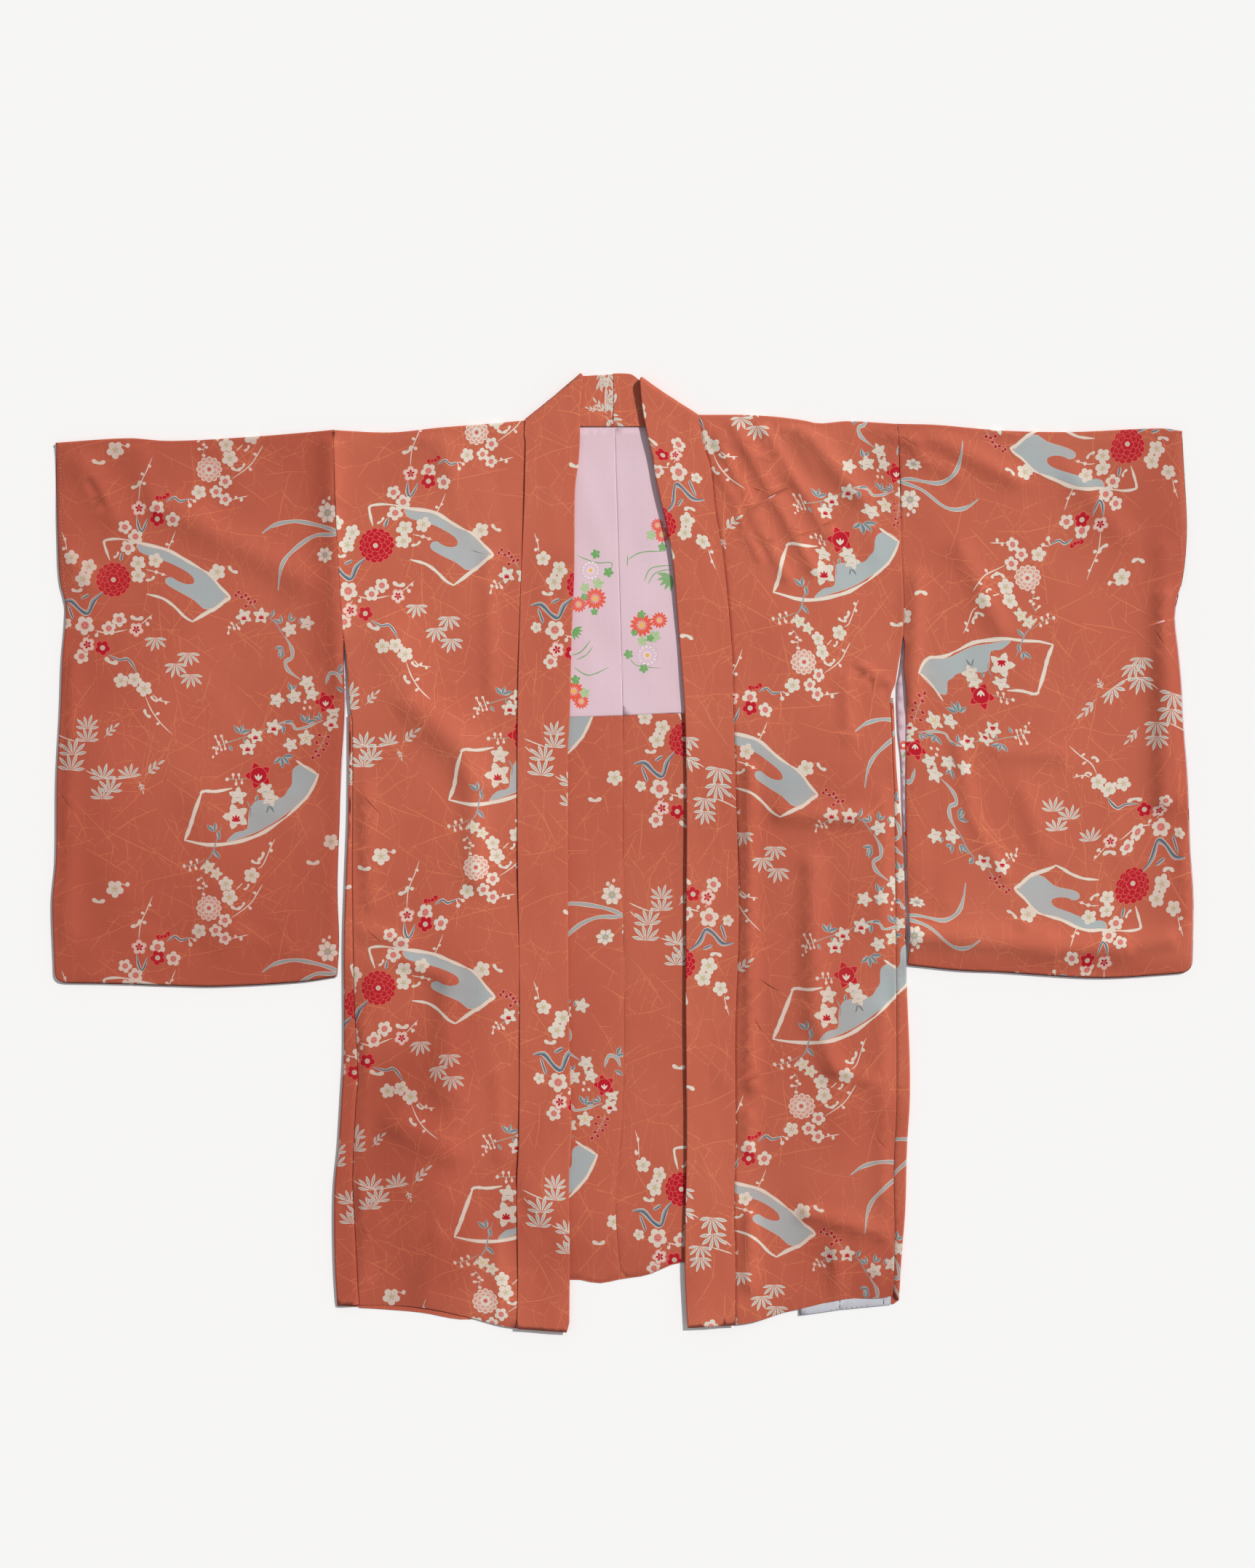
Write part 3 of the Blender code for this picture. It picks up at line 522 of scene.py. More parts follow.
def placed(x, y, z):
    """Points in the measures of the pieces, as metres from the origin."""
    return np.stack([METRES * (x - MIDDLE_X), METRES * (y - MIDDLE_Y), METRES * z], axis=-1)


def smooth_path(points, per_span=5, closed=False):
    """A smooth path through a few points."""
    points = np.array(points, float)
    count = len(points)
    spans = count if closed else count - 1
    path = []
    for span in range(spans):
        picks = [span - 1, span, span + 1, span + 2]
        picks = [p % count for p in picks] if closed else [min(max(p, 0), count - 1) for p in picks]
        a, b, c, d = points[picks]
        for step in range(per_span):
            t = step / per_span
            bend = (2 * a - 5 * b + 4 * c - d) * t**2 + (3 * b - a - 3 * c + d) * t**3
            path.append(0.5 * (2 * b + (c - a) * t + bend))
    if not closed:
        path.append(points[-1])
    return np.array(path)


# The motifs. Each gives a list of (outline, paint), the first painted first. u runs right and v down.


def set_at(u, v, turn, x, y):
    """An outline turned about its own middle and set at (u, v)."""
    c, s = math.cos(turn), math.sin(turn)
    return np.stack([u + x * c - y * s, v + x * s + y * c], axis=-1)


def beyond(u, v, angle, gone):
    """The point that lies at a distance from (u, v), in the direction of an angle."""
    return u + gone * math.cos(angle), v + gone * math.sin(angle)


def blob(u, v, radius, paint, count=10, squash=1.0, turn=0.0):
    """A disc, or an oval where it is squashed."""
    angles = np.linspace(0, 2 * math.pi, count, endpoint=False)
    return (set_at(u, v, turn, radius * np.cos(angles), radius * squash * np.sin(angles)), paint)


def lobed(u, v, radius, lobes, depth, paint, turn=0.0, sharp=1.0, per_lobe=8):
    """A flower's outline: round lobes that meet in notches."""
    angles = np.linspace(0, 2 * math.pi, lobes * per_lobe, endpoint=False)
    swell = np.abs(np.cos(lobes / 2 * (angles - turn))) ** sharp
    r = radius * (1 - depth + depth * swell)
    return (np.stack([u + r * np.cos(angles), v + r * np.sin(angles)], axis=1), paint)


def lens(u, v, length, width, turn, paint, count=9, belly=0.45):
    """A leaf or petal from its foot at (u, v), pointed at both ends."""
    t = np.linspace(0, 1, count)
    half = width / 2 * np.sin(math.pi * t ** (math.log(0.5) / math.log(belly)))
    x = np.concatenate([t * length, t[-2:0:-1] * length])
    y = np.concatenate([half, -half[-2:0:-1]])
    return (set_at(u, v, turn, x, y), paint)


def stroke(points, width, paint, per_span=4, tips=(0.15, 0.15)):
    """A brushed line, thinner at its tips."""
    path = smooth_path(points, per_span)
    run = np.gradient(path, axis=0)
    run /= np.maximum(np.linalg.norm(run, axis=1, keepdims=True), 1e-9)
    side = np.stack([-run[:, 1], run[:, 0]], axis=1)
    t = np.linspace(0, 1, len(path))
    body = np.minimum(1, np.minimum(tips[0] + 4 * t, tips[1] + 4 * (1 - t)))
    waver = 1 + 0.14 * np.sin(t * 23 + len(path))
    half = (width / 2 * body * waver)[:, None]
    return (np.concatenate([path + side * half, (path - side * half)[::-1]]), paint)


def round_petals(u, v, radius, petals, paint, turn, reach=0.60, size=0.40, count=8):
    """Round petals side by side, and the disc that fills the middle."""
    shapes = []
    for angle in turn + 2 * math.pi * np.arange(petals) / petals:
        shapes.append(blob(*beyond(u, v, angle, radius * reach), radius * size, paint, count, 1.0, angle))
    return shapes + [blob(u, v, radius * reach, paint, petals, 1.0, turn)]


def plum(u, v, radius, heart, turn):
    """Five round petals, with a heart that tells the kinds apart."""
    edged = {"red": ("coral", "scarlet"), "star": ("coral_pale", "petal_pink")}
    if heart in edged:
        edge, petal = edged[heart]
        shapes = round_petals(u, v, radius + 0.2, 5, edge, turn)
        shapes += round_petals(u, v, radius - 0.9, 5, petal, turn)
    else:
        shapes = round_petals(u, v, radius, 5, "ivory", turn)
    notches = turn + math.pi / 5
    if heart == "plain":
        shapes.append(lobed(u, v, radius * 0.46, 5, 0.66, "stamen", notches, 1.6, 4))
        shapes.append(blob(u, v, radius * 0.11, "pollen", 5))
    elif heart == "pink":
        shapes.append(blob(u, v, radius * 0.42, "rose", 11))
        shapes.append(lobed(u, v, radius * 0.36, 5, 0.7, "brick", notches, 3.0, 4))
        shapes.append(blob(u, v, radius * 0.17, "rose", 6))
    elif heart == "star":
        shapes.append(blob(u, v, radius * 0.5, "blush", 9))
        for k in range(5):
            angle = turn + 2 * math.pi * k / 5
            shapes.append(lens(u, v, radius * 0.52, radius * 0.3, angle, "scarlet", 5, 0.6))
    else:
        shapes.append(blob(u, v, radius * 0.32, "blush", 9))
        shapes.append(lobed(u, v, radius * 0.3, 5, 0.2, "stamen", turn, 1.0, 3))
    return shapes


def half_blossom(u, v, width, turn, red=False):
    """A flower seen from the side: two tall petals with lower ones between them."""
    shapes = []
    for along, drop, size, lean in (
        (-0.30, 0.02, 0.22, 0.5), (0.30, 0.02, 0.22, -0.5), (-0.09, 0.08, 0.18, 0.2),
        (0.10, 0.09, 0.17, -0.2),
    ):
        x, y = set_at(u, v, turn, along * width, drop * width)
        if red:
            shapes.append(blob(x, y, width * size + 0.3, "coral", 8, 0.74, turn + lean))
            shapes.append(blob(x, y, width * size - 0.4, "scarlet", 8, 0.74, turn + lean))
        else:
            shapes.append(blob(x, y, width * size, "ivory", 8, 0.74, turn + lean))
    if not red:
        foot = beyond(u, v, turn, -0.14 * width)
        shapes.append(lens(*foot, width * 0.28, width * 0.07, turn, "line", 4))
    return shapes


def nearest_on(paths, u, v):
    """The point of some paths that lies nearest to (u, v), and how far it is."""
    gaps = np.linalg.norm(paths - (u, v), axis=1)
    return paths[gaps.argmin()], gaps.min()


def bud(u, v, radius, stems):
    """A small bud with a pale edge, on a short stalk from the nearest stem."""
    foot, gap = nearest_on(stems, u, v)
    turn = math.atan2(v - foot[1], u - foot[0])
    shapes = []
    if 1.5 < gap < STALK_REACH:
        shapes.append(stroke((tuple(foot), (u, v)), 1.0, "cream", 2, (1, 1)))
    radius = radius * 0.86
    if radius > 2.1:
        return shapes + [blob(u, v, radius, "ivory", 8, 0.9, turn)]
    shapes.append(blob(u, v, radius + 0.1, "cream", 8, 0.8, turn))
    return shapes + [blob(u, v, radius * 0.55, "blush", 6, 0.7, turn)]


def berry(u, v, stems):
    """A small dark red bud with a pale edge, on a stalk as a bud is."""
    foot, gap = nearest_on(stems, u, v)
    turn = math.atan2(v - foot[1], u - foot[0])
    shapes = []
    if gap < STALK_REACH:
        shapes.append(stroke((tuple(foot), (u, v)), 0.8, "coral_pale", 2, (1, 1)))
    shapes.append(blob(u, v, 2.9, "coral_pale", 8, 0.7, turn))
    return shapes + [blob(u, v, 2.2, "crimson", 7, 0.7, turn)]


def chrysanthemum(u, v, radius, heart, turn):
    """Rings of round petals, each with a fine edge, and a small flower on top of them."""
    red = heart == "red"
    edge, petal = ("coral", "scarlet") if red else ("ivory", "petal_rose")
    rings = ((0.80, 0.23, 12), (0.52, 0.22, 8))
    if red:
        rings = ((0.82, 0.20, 15), (0.62, 0.22, 11), (0.46, 0.20, 8))
    rim, pull = (0.35, 0.0) if red else (0.8, 0.03)
    shapes = []
    for reach, size, petals in rings:
        for k in range(petals):
            angle = turn + reach * 5 + 2 * math.pi * k / petals
            shapes.append(blob(*beyond(u, v, angle, radius * reach), radius * size + 0.1, edge, 9))
            spot = beyond(u, v, angle, radius * (reach - pull))
            shapes.append(blob(*spot, radius * size - rim, petal, 8))
    if red:
        shapes += round_petals(u, v, radius * 0.40, 6, "coral", turn)
        shapes += round_petals(u, v, radius * 0.40 - 0.6, 6, "scarlet", turn)
        shapes.append(blob(u, v, radius * 0.15, "blush", 9))
        shapes.append(blob(u, v, radius * 0.12, "stamen", 8))
    else:
        shapes += round_petals(u, v, radius * 0.46, 6, "ivory", turn)
        shapes.append(blob(u, v, radius * 0.20, "rose", 10))
        shapes.append(lobed(u, v, radius * 0.17, 6, 0.6, "brick", turn, 3.0, 4))
    return shapes


def bellflower(u, v, radius, heart, turn):
    """A round cup with five narrow pointed tips that spread from behind it."""
    petal, edge, rim = ("scarlet", "coral", 0.7) if heart == "red" else ("ivory", "line", 0.25)
    cup = radius * 0.64
    shapes = []
    for k in range(5):
        angle = turn + math.pi * (2 * k + 0.5) / 5
        foot = beyond(u, v, angle, 0.2 * radius)
        for paint, inset in ((edge, 0), (petal, 2 * rim)):
            shapes.append(lens(*foot, radius * 0.86 - inset, radius * 0.60 - inset, angle, paint, 7, 0.5))
    shapes.append(blob(u, v, cup, edge, 11))
    shapes.append(blob(u, v, cup - rim, petal, 11))
    if heart in ("star", "red"):
        mark = "scarlet" if heart == "star" else "ivory"
        leans = ((-0.55, 0.95), (0.0, 1.0), (0.55, 0.95))
        if heart == "star":
            shapes.append(blob(u, v + cup * 0.35, cup * 0.6, "blush", 8, 0.7))
            leans = ((-1.15, 0.7), *leans, (1.15, 0.7))
        for lean, share in leans:
            up = lean - math.pi / 2
            shapes.append(lens(u, v + cup * 0.62, cup * 0.85 * share, cup * 0.26, up, mark, 5, 0.6))
    elif heart == "gold":
        for k in range(5):
            shapes.append(lens(u, v, cup * 0.75, cup * 0.22, turn + 2 * math.pi * k / 5, "pollen", 4, 0.7))
        shapes.append(blob(u, v, cup * 0.25, "stamen", 6))
    else:
        shapes.append(lens(u - cup * 0.6, v + cup * 0.25, cup * 1.2, cup * 0.16, 0.0, "vein", 5))
    return shapes


def leaf(u, v, length, turn, paint="leaf", edge="bamboo", half="leaf_pale"):
    """A leaf in two tones with a pale edge."""
    width = length * 0.44
    return [
        lens(u, v, length, width, turn, edge, 7),
        lens(*beyond(u, v, turn, 0.3), length - 0.6, width - 0.7, turn, paint, 7),
        lens(*set_at(u, v, turn, 0.6, 0.09 * length), length * 0.84, width * 0.34, turn, half, 5),
    ]


def leaf_spray(u, v, length, turn, count):
    """Leaves that spread from one foot, every second one a little shorter."""
    shapes = []
    for k in range(count):
        shapes += leaf(u, v, length * (1 - 0.12 * (k % 2)), turn + (k - (count - 1) / 2) * 0.95)
    return shapes


def bamboo(u, v, width, turn):
    """A tuft of six blades that fan out from one stem, each with a grey middle."""
    shapes = []
    for k, share in enumerate((0.50, 0.62, 0.56, 0.63, 0.58, 0.48)):
        angle = turn + (k - 2.5) * 0.55
        length = width * share
        shapes.append(lens(u, v, length, width * 0.125, angle, "bamboo", 7, 0.62))
        foot = beyond(u, v, angle, 0.16 * width)
        shapes.append(lens(*foot, length * 0.6, width * 0.05, angle, "vein", 5, 0.5))
    return shapes


def sprig(u, v, length, turn):
    """A thin stem with a few narrow leaves in pairs. The rows give each leaf's place, lean and length."""
    shapes = [stroke(((u, v), beyond(u, v, turn, length)), 0.9, "bamboo", 2)]
    for at, lean, share in (
        (0.30, -0.62, 0.52), (0.30, 0.75, 0.42), (0.60, -0.50, 0.50), (0.62, 0.62, 0.40), (0.92, 0.1, 0.52),
    ):
        foot = beyond(u, v, turn, at * length)
        shapes.append(lens(*foot, length * share, length * 0.15, turn + lean, "bamboo", 6, 0.52))
        shapes.append(lens(*foot, length * share * 0.85, length * 0.055, turn + lean, "vein", 4, 0.52))
    return shapes


def orchid(u, v, radius, turn):
    """Broad outlined petals round a grey heart."""
    shapes = []
    for k in range(7):
        angle = turn + 2 * math.pi * k / 7
        shapes.append(lens(u, v, radius, radius * 0.62, angle, "line", 7, 0.62))
        foot = beyond(u, v, angle, 1.0)
        shapes.append(lens(*foot, radius - 1.5, radius * 0.62 - 0.9, angle, "cream", 6, 0.62))
    for share, paint, count in ((0.34, "vein", 9), (0.26, "mist", 8), (0.12, "pollen", 6)):
        shapes.append(blob(u, v, radius * share, paint, count))
    return shapes


def aster(u, v, radius, petal, eye, turn):
    """The lining's flower: many narrow petals with the ground between them."""
    shapes = []
    for k in range(14):
        angle = turn + math.pi * k / 7
        foot = beyond(u, v, angle, radius * 0.2)
        shapes.append(lens(*foot, radius * 0.8, radius * 0.3, angle, petal, 6, 0.6))
    return shapes + [blob(u, v, radius * 0.24, eye, 8)]


def lobed_leaf(u, v, size, paint, vein, turn):
    """The lining's leaf: five lobes and a vein."""
    lobes = lobed(u, v, size * 0.62, 5, 0.45, paint, turn, 0.9, 6)
    return [lobes, lens(u, v, size * 0.45, 0.7, turn, vein, 3)]


# Flowers of one repeat: u, v, radius, heart, turn.
PLUMS = (
    (69.5, 20, 10.2, "plain", 0.3), (193, 14.4, 8.6, "plain", 0.9), (197, 29.3, 9.4, "plain", 0.2),
    (221.4, 5.0, 9.2, "plain", 1.2), (162.8, 67, 8.6, "plain", 0.5), (21, 140, 8.6, "plain", 1.0),
    (40, 150, 9.2, "plain", 0.1), (34.3, 164, 9.6, "plain", 0.7), (94.8, 146, 9.0, "plain", 0.4),
    (94.8, 160, 8.6, "plain", 1.1), (114, 143, 8.6, "plain", 0.0), (183.4, 156, 9.6, "plain", 0.6),
    (76, 277, 8.6, "plain", 0.8), (91, 275.8, 8.6, "plain", 0.2), (102, 286, 9.2, "plain", 0.5),
    (15, 213, 6.4, "plain", 0.5), (310, 456.6, 9.2, "plain", 0.2), (344, 58, 9.0, "plain", 0.2),
    (338, 41, 8.4, "plain", 0.9), (351, 233, 9.0, "plain", 0.4),
    (192, 55, 8.0, "pink", 0.2), (181.6, 66.4, 7.6, "pink", 0.8), (192, 75, 7.6, "pink", 1.3),
    (116.5, 85, 9.0, "pink", 0.5), (134, 98, 8.6, "pink", 1.0), (80.3, 106, 8.0, "pink", 0.1),
    (92, 116.5, 8.6, "pink", 0.7), (83.6, 128.7, 8.6, "pink", 0.3), (35.8, 215.5, 11.2, "pink", 0.4),
    (62.3, 218.8, 8.4, "pink", 0.9), (73.8, 209, 8.6, "pink", 0.2), (32, 250, 8.6, "pink", 0.6),
    (336, 181, 8.6, "pink", 0.6), (349, 170, 8.4, "pink", 0.0),
    (96, 85, 9.0, "star", 0.9), (92.7, 220, 8.6, "star", 0.3), (38.4, 237, 9.2, "star", 0.6),
    (342, 199, 8.8, "star", 0.2),
    (116.5, 97, 9.2, "red", 0.5), (55.4, 240.5, 9.2, "red", 0.2),
)
CHRYSANTHEMUMS = ((174, 41.5, 14.0, "pink", 0.2), (67.3, 164.5, 19.2, "red", 0.1))
BELLFLOWERS = (
    (212.7, 205.7, 9.4, "star", 0.2), (232, 204.7, 9.4, "star", 0.7), (263.7, 219.9, 9.0, "plain", 0.3),
    (283, 213, 8.8, "plain", 0.9), (283, 279, 9.0, "plain", 0.1), (288.6, 292, 8.4, "plain", 0.8),
    (269, 294.7, 9.0, "plain", 0.4), (249.6, 298.6, 9.0, "plain", 1.0), (312.5, 311.6, 8.0, "plain", 0.5),
    (310, 324.7, 9.2, "star", 0.2), (246, 329, 9.6, "star", 0.9), (225.7, 338.8, 9.2, "star", 0.3),
    (217, 351.8, 9.6, "star", 0.6), (264.8, 348.5, 8.6, "plain", 0.2), (282, 341, 9.8, "gold", 0.7),
    (303.8, 300.8, 12.6, "red", 0.31), (229, 382.8, 15.4, "red", 0.31), (206, 405.6, 10.4, "plain", 0.7),
    (236.6, 399, 9.4, "plain", 0.2), (242, 408, 10.0, "plain", 0.9), (204, 428.4, 14.6, "star", 0.31),
    (173.6, 484.8, 8.2, "gold", 0.4), (182, 492, 7.6, "gold", 1.0),
)
# Half blossoms: u, v, width, turn, red. Buds: u, v, radius.
HALF_BLOSSOMS = (
    (51, 33, 15, 0.1, 0), (93, 59, 14, -0.6, 0), (122.6, 72, 17, -0.3, 1), (70.6, 137, 9, -0.9, 0),
    (204, 41, 12, 0.2, 0), (210.5, 38.5, 10, -0.8, 0), (200.7, 153.7, 13, 0.6, 0),
    (108.5, 163.4, 11, -0.4, 0), (27, 176, 13, 0.0, 0), (93.3, 206.8, 15, 0.1, 0), (65, 255, 16, 0.4, 0),
    (112.9, 297.5, 10, 0.6, 0), (105, 313.8, 12, 0.9, 0), (289.7, 479.4, 15, 0.0, 0),
    (232, 473, 12, -1.0, 0), (226, 479, 11, 0.2, 0), (216, 18, 9, -0.9, 0), (326, 100, 14, 0.6, 0),
)
BUDS = (
    (83.5, 15, 3.2), (108, 38, 2.3), (100, 47, 2.4), (102, 57.5, 2.6), (153, 82, 3.0), (158, 77, 2.6),
    (220, 41.5, 2.4), (225, 24.5, 2.3), (204, 73, 2.2), (210, 75.5, 2.6), (13.5, 119.4, 2.3),
    (12.4, 130, 2.6), (127, 125, 2.2), (132.8, 121.8, 2.0), (115, 156, 2.6), (122.6, 158.7, 2.2),
    (108.5, 206.8, 2.2), (105.3, 213.8, 2.8), (48.8, 226.4, 2.8), (119.8, 297.5, 2.2), (125.9, 301.9, 2.0),
    (117, 313.8, 2.4), (117, 325, 2.2), (242.4, 458.7, 2.6), (243, 466.3, 2.6), (301.6, 77.7, 3.0),
    (308, 74, 2.4), (162, 10, 2.2), (168, 14, 2.2), (163, 19, 2.4), (171, 17, 2.2), (168, 26, 2.4),
    (196.4, 217.7, 2.2), (202, 218.8, 2.2), (207, 218.8, 2.4), (195.3, 224, 2.0), (199, 213, 2.0),
    (281, 300.8, 2.4), (280, 308, 2.2), (286.5, 307, 2.2), (181, 339.4, 2.2), (187.7, 338.8, 2.2),
    (184.5, 346, 2.2), (193, 345, 2.0), (179, 351.8, 2.2), (183.4, 352.9, 2.0), (187.7, 354, 2.0),
    (192, 352.9, 2.0), (182.3, 358, 2.0), (178.4, 362, 1.8), (194, 387, 2.6), (200.7, 382, 2.4),
    (207, 382, 2.2), (204, 392, 2.4), (210.5, 390.8, 2.2), (146.5, 483.7, 2.4), (154, 479.4, 2.4),
    (160.6, 477, 2.2), (153, 488, 2.2), (159.5, 486, 2.4), (166, 485.9, 2.2),
)
RED_BERRIES = (
    (204, 182), (207, 178.6), (210.5, 184), (214.9, 182), (218, 186), (220, 190), (225, 189), (214.9, 194),
    (297, 337.7), (307, 339.8), (294, 346), (305, 347.4), (301.6, 354), (293, 356), (289.7, 363),
    (296, 360.5),
)
# Leaves: u, v of the foot, length, turn, count.
LEAVES = (
    (243, 207, 10, -1.2, 1), (255, 213, 10, -2.2, 2), (263.7, 211, 10, -1.0, 2), (274.5, 214, 9, -1.2, 1),
    (257, 240, 12, 2.6, 2), (257, 243, 11, 1.9, 1), (265.8, 289, 11, -1.4, 2), (262, 297, 8, 0.8, 1),
    (282, 324, 12, -1.2, 3), (258, 324, 10, -0.2, 1), (257, 326, 11, 1.6, 1), (299, 320, 10, -2.4, 2),
    (209, 336, 12, -1.3, 3), (212, 342, 10, 0.8, 1), (196, 349, 8, 1.0, 1), (256, 362, 13, 0.4, 2),
    (254, 362, 13, 1.9, 2), (239.8, 416, 11, 1.3, 2), (181, 445, 12, -2.0, 2), (184, 444, 11, 1.4, 1),
    (179, 466, 12, 0.9, 1), (228, 404, 9, 1.8, 1), (318, 269, 12, -0.7, 2), (316, 284, 11, 0.6, 1),
)
# Bamboo tufts: u, v, width, turn. The first four hang and the others stand.
BAMBOO = (
    (114, 229, 26, 1.57), (150.8, 246, 27, 1.57), (136.7, 258, 27, 1.57), (153.7, 270, 27, 1.57),
    (39, 331, 27, -1.57), (39, 345, 28, -1.57), (23, 360, 33, -1.6), (20.6, 377, 33, -1.5),
    (56.4, 387, 30, -1.6), (85.7, 385, 26, -1.7), (64, 401, 29, -1.5), (55.4, 409, 28, -1.57),
)
SPRIGS = ((57, 341, 17, -0.8), (102, 383, 20, -0.7), (96, 389, 11, 1.2))
ORCHIDS = ((306, 90, 12.4, 0.2), (303, 137, 9.6, 0.6), (329, 128, 11.0, 0.9))
# Stems and boughs: paint, width, points. One from BROAD_STEM on is drawn in two tones, and a bud
# stands on a stalk where a stem is nearer than STALK_REACH.
BROAD_STEM = 1.7
STALK_REACH = 11
STEMS = (
    ("ivory", 1.15, ((111, 28), (105, 43), (97.7, 59), (95.5, 79))),
    ("ivory", 1.265, ((198.6, 52.8), (219, 37.6), (228, 24.5), (233.7, 14.8))),
    ("ivory", 1.265, ((204, 21), (211.6, 13.7))),
    ("ivory", 1.15, ((198.6, 75.5), (218, 71))),
    ("branch", 2.6, ((153, 74.5), (142, 77.4), (135.5, 73), (127, 78.5))),
    ("branch", 3.0, ((93.3, 93), (95.5, 106), (99.8, 110), (105.5, 96))),
    ("branch", 3.2, ((77, 134), (75.4, 144))),
    ("ivory", 1.035, ((9.8, 111), (14, 122), (16.3, 133))),
    ("ivory", 1.035, ((136.7, 110), (131, 124), (125.9, 134))),
    ("ivory", 1.035, ((103, 153), (115, 156), (127, 160))),
    ("ivory", 1.035, ((76.5, 14), (84, 17))),
    ("branch", 5.0, ((8, 189.5), (19.6, 188), (30.4, 198), (39, 201.4), (45.6, 188), (56, 178))),
    ("branch", 3.0, ((16.3, 191.6), (22.8, 209))),
    ("branch", 3.0, ((31, 186), (41, 181))),
    ("ivory", 1.38, ((46.7, 221), (62, 224), (83, 220))),
    ("ivory", 1.15, ((97, 215), (111, 203))),
    ("ivory", 1.035, ((41, 226), (36, 232))),
    ("branch", 2.6, ((61, 247.6), (73.8, 254), (82.5, 252.6), (89, 259.6), (93.3, 268))),
    ("ivory", 1.265, ((110.7, 292), (119, 299), (131, 301))),
    ("ivory", 1.265, ((103, 294), (109.6, 309.5), (119.4, 323.6), (132.4, 336.6))),
    ("mist", 3.8, ((233, 113), (247, 103.8), (269, 99.4), (290.8, 102.7), (311.4, 109), (330, 119))),
    ("mist", 3.8, ((330, 113), (311, 114.6), (290.8, 115.7), (269, 131), (256, 148), (250.7, 176.5))),
    ("line", 1.035, ((204, 181), (217, 187), (227.9, 199))),
    ("line", 1.15, ((196, 220), (205, 214), (213, 208))),
    ("branch", 1.495, ((239.8, 206.8), (248.5, 213), (257, 227.4))),
    ("mist", 3.4, ((258, 227), (265.8, 240), (266.5, 250.9), (259.3, 256.3), (262.6, 266), (277, 276.5))),
    ("line", 1.265, ((181, 351), (197.5, 345), (223.5, 336.6), (243, 328))),
    ("mist", 2.4, ((243, 328), (258, 323.5), (267, 325.5), (271, 331), (285, 328), (301, 321))),
    ("line", 1.035, ((305, 334), (300, 347), (291, 361))),
    ("line", 1.035, ((193, 386), (204, 387), (218, 386))),
    ("ivory", 1.38, ((2, 336), (14, 341), (26, 345))),
    ("ivory", 1.38, ((3, 345), (10, 352))),
    ("ivory", 1.38, ((37, 376.7), (45.6, 381), (69, 386.5), (99.8, 382))),
    ("branch", 1.6, ((216, 411), (220, 420), (219, 430))),
    ("branch", 1.495, ((188.8, 437), (183.4, 453), (179, 466), (175.8, 472.9), (169, 480.4))),
    ("line", 1.035, ((146, 484), (158, 482), (172, 475))),
    ("line", 1.035, ((164, 4), (169, 14), (166, 30))),
    ("ivory", 1.15, ((247.4, 453.3), (242, 464), (234.4, 481.5), (227.9, 487))),
    ("mist", 3.6, ((322, 281), (318, 271), (309, 269), (304, 281))),
    ("branch", 3.4, ((352, 128), (341, 138), (340, 152), (350, 162), (356, 160))),
)
# Fan shapes: a brushed outline and a misty fill.
FANS = (
    {
        "fill": (
            (95.5, 125.5), (108.5, 128.7), (128, 134), (151.9, 147), (173.6, 160), (185.6, 173), (192, 183),
            (171.5, 197), (156, 186), (138.9, 176.5), (128, 170), (125.4, 165.6), (127, 162.3),
            (132.4, 161.7), (138.9, 165.6), (147.6, 168.9), (155, 168.9), (157, 165.6), (154, 160),
            (145.4, 153.7), (130, 146), (117, 141.7), (102, 136.3), (96.6, 132),
        ),
        "brushed": (
            (2.6, ((63.4, 142.8), (59.7, 133), (57, 124), (58.6, 120.5), (69.5, 119), (82.5, 120))),
            (3.6, (
                (82, 120), (95.5, 123.3), (108.5, 126.5), (125.9, 130.9), (138.9, 137.4), (151.9, 145),
                (167, 153.7),
            )),
            (3.0, ((165, 152.4), (175.8, 160), (186.6, 173), (196.4, 183), (194.5, 187), (182, 196))),
            (4.0, ((196, 184), (182, 196), (171.5, 201.4), (155, 211.6))),
            (2.8, ((156, 211.6), (146.5, 205.7), (134.6, 193.8), (121.5, 185), (104, 180.4))),
        ),
    },
    {
        "fill": (
            (267, 376.7), (277.8, 372), (290.8, 379), (291.9, 385.4), (284.3, 400.6), (275.6, 411),
            (264.8, 421), (247.4, 434), (225.7, 445.6), (204, 453.6), (195.3, 455), (204, 445.7),
            (217, 441.4), (219, 425), (223.5, 414.3), (232, 410), (254, 407.8), (261.5, 399), (265.8, 392),
        ),
        "brushed": (
            (2.6, ((271, 365.9), (277.8, 371), (288.6, 377.8), (295.4, 382))),
            (3.4, ((296, 381), (290.8, 393), (284, 405), (277.8, 412), (258, 431))),
            (3.8, ((260, 429), (236.6, 445), (217, 453.5), (195.3, 458.7), (171.5, 459.8), (146.5, 454.6))),
            (4.2, ((147, 455), (153, 440.3), (158.4, 423), (166, 402))),
            (3.2, ((164, 402.5), (170, 400), (182, 400.5), (199.7, 397))),
        ),
    },
)


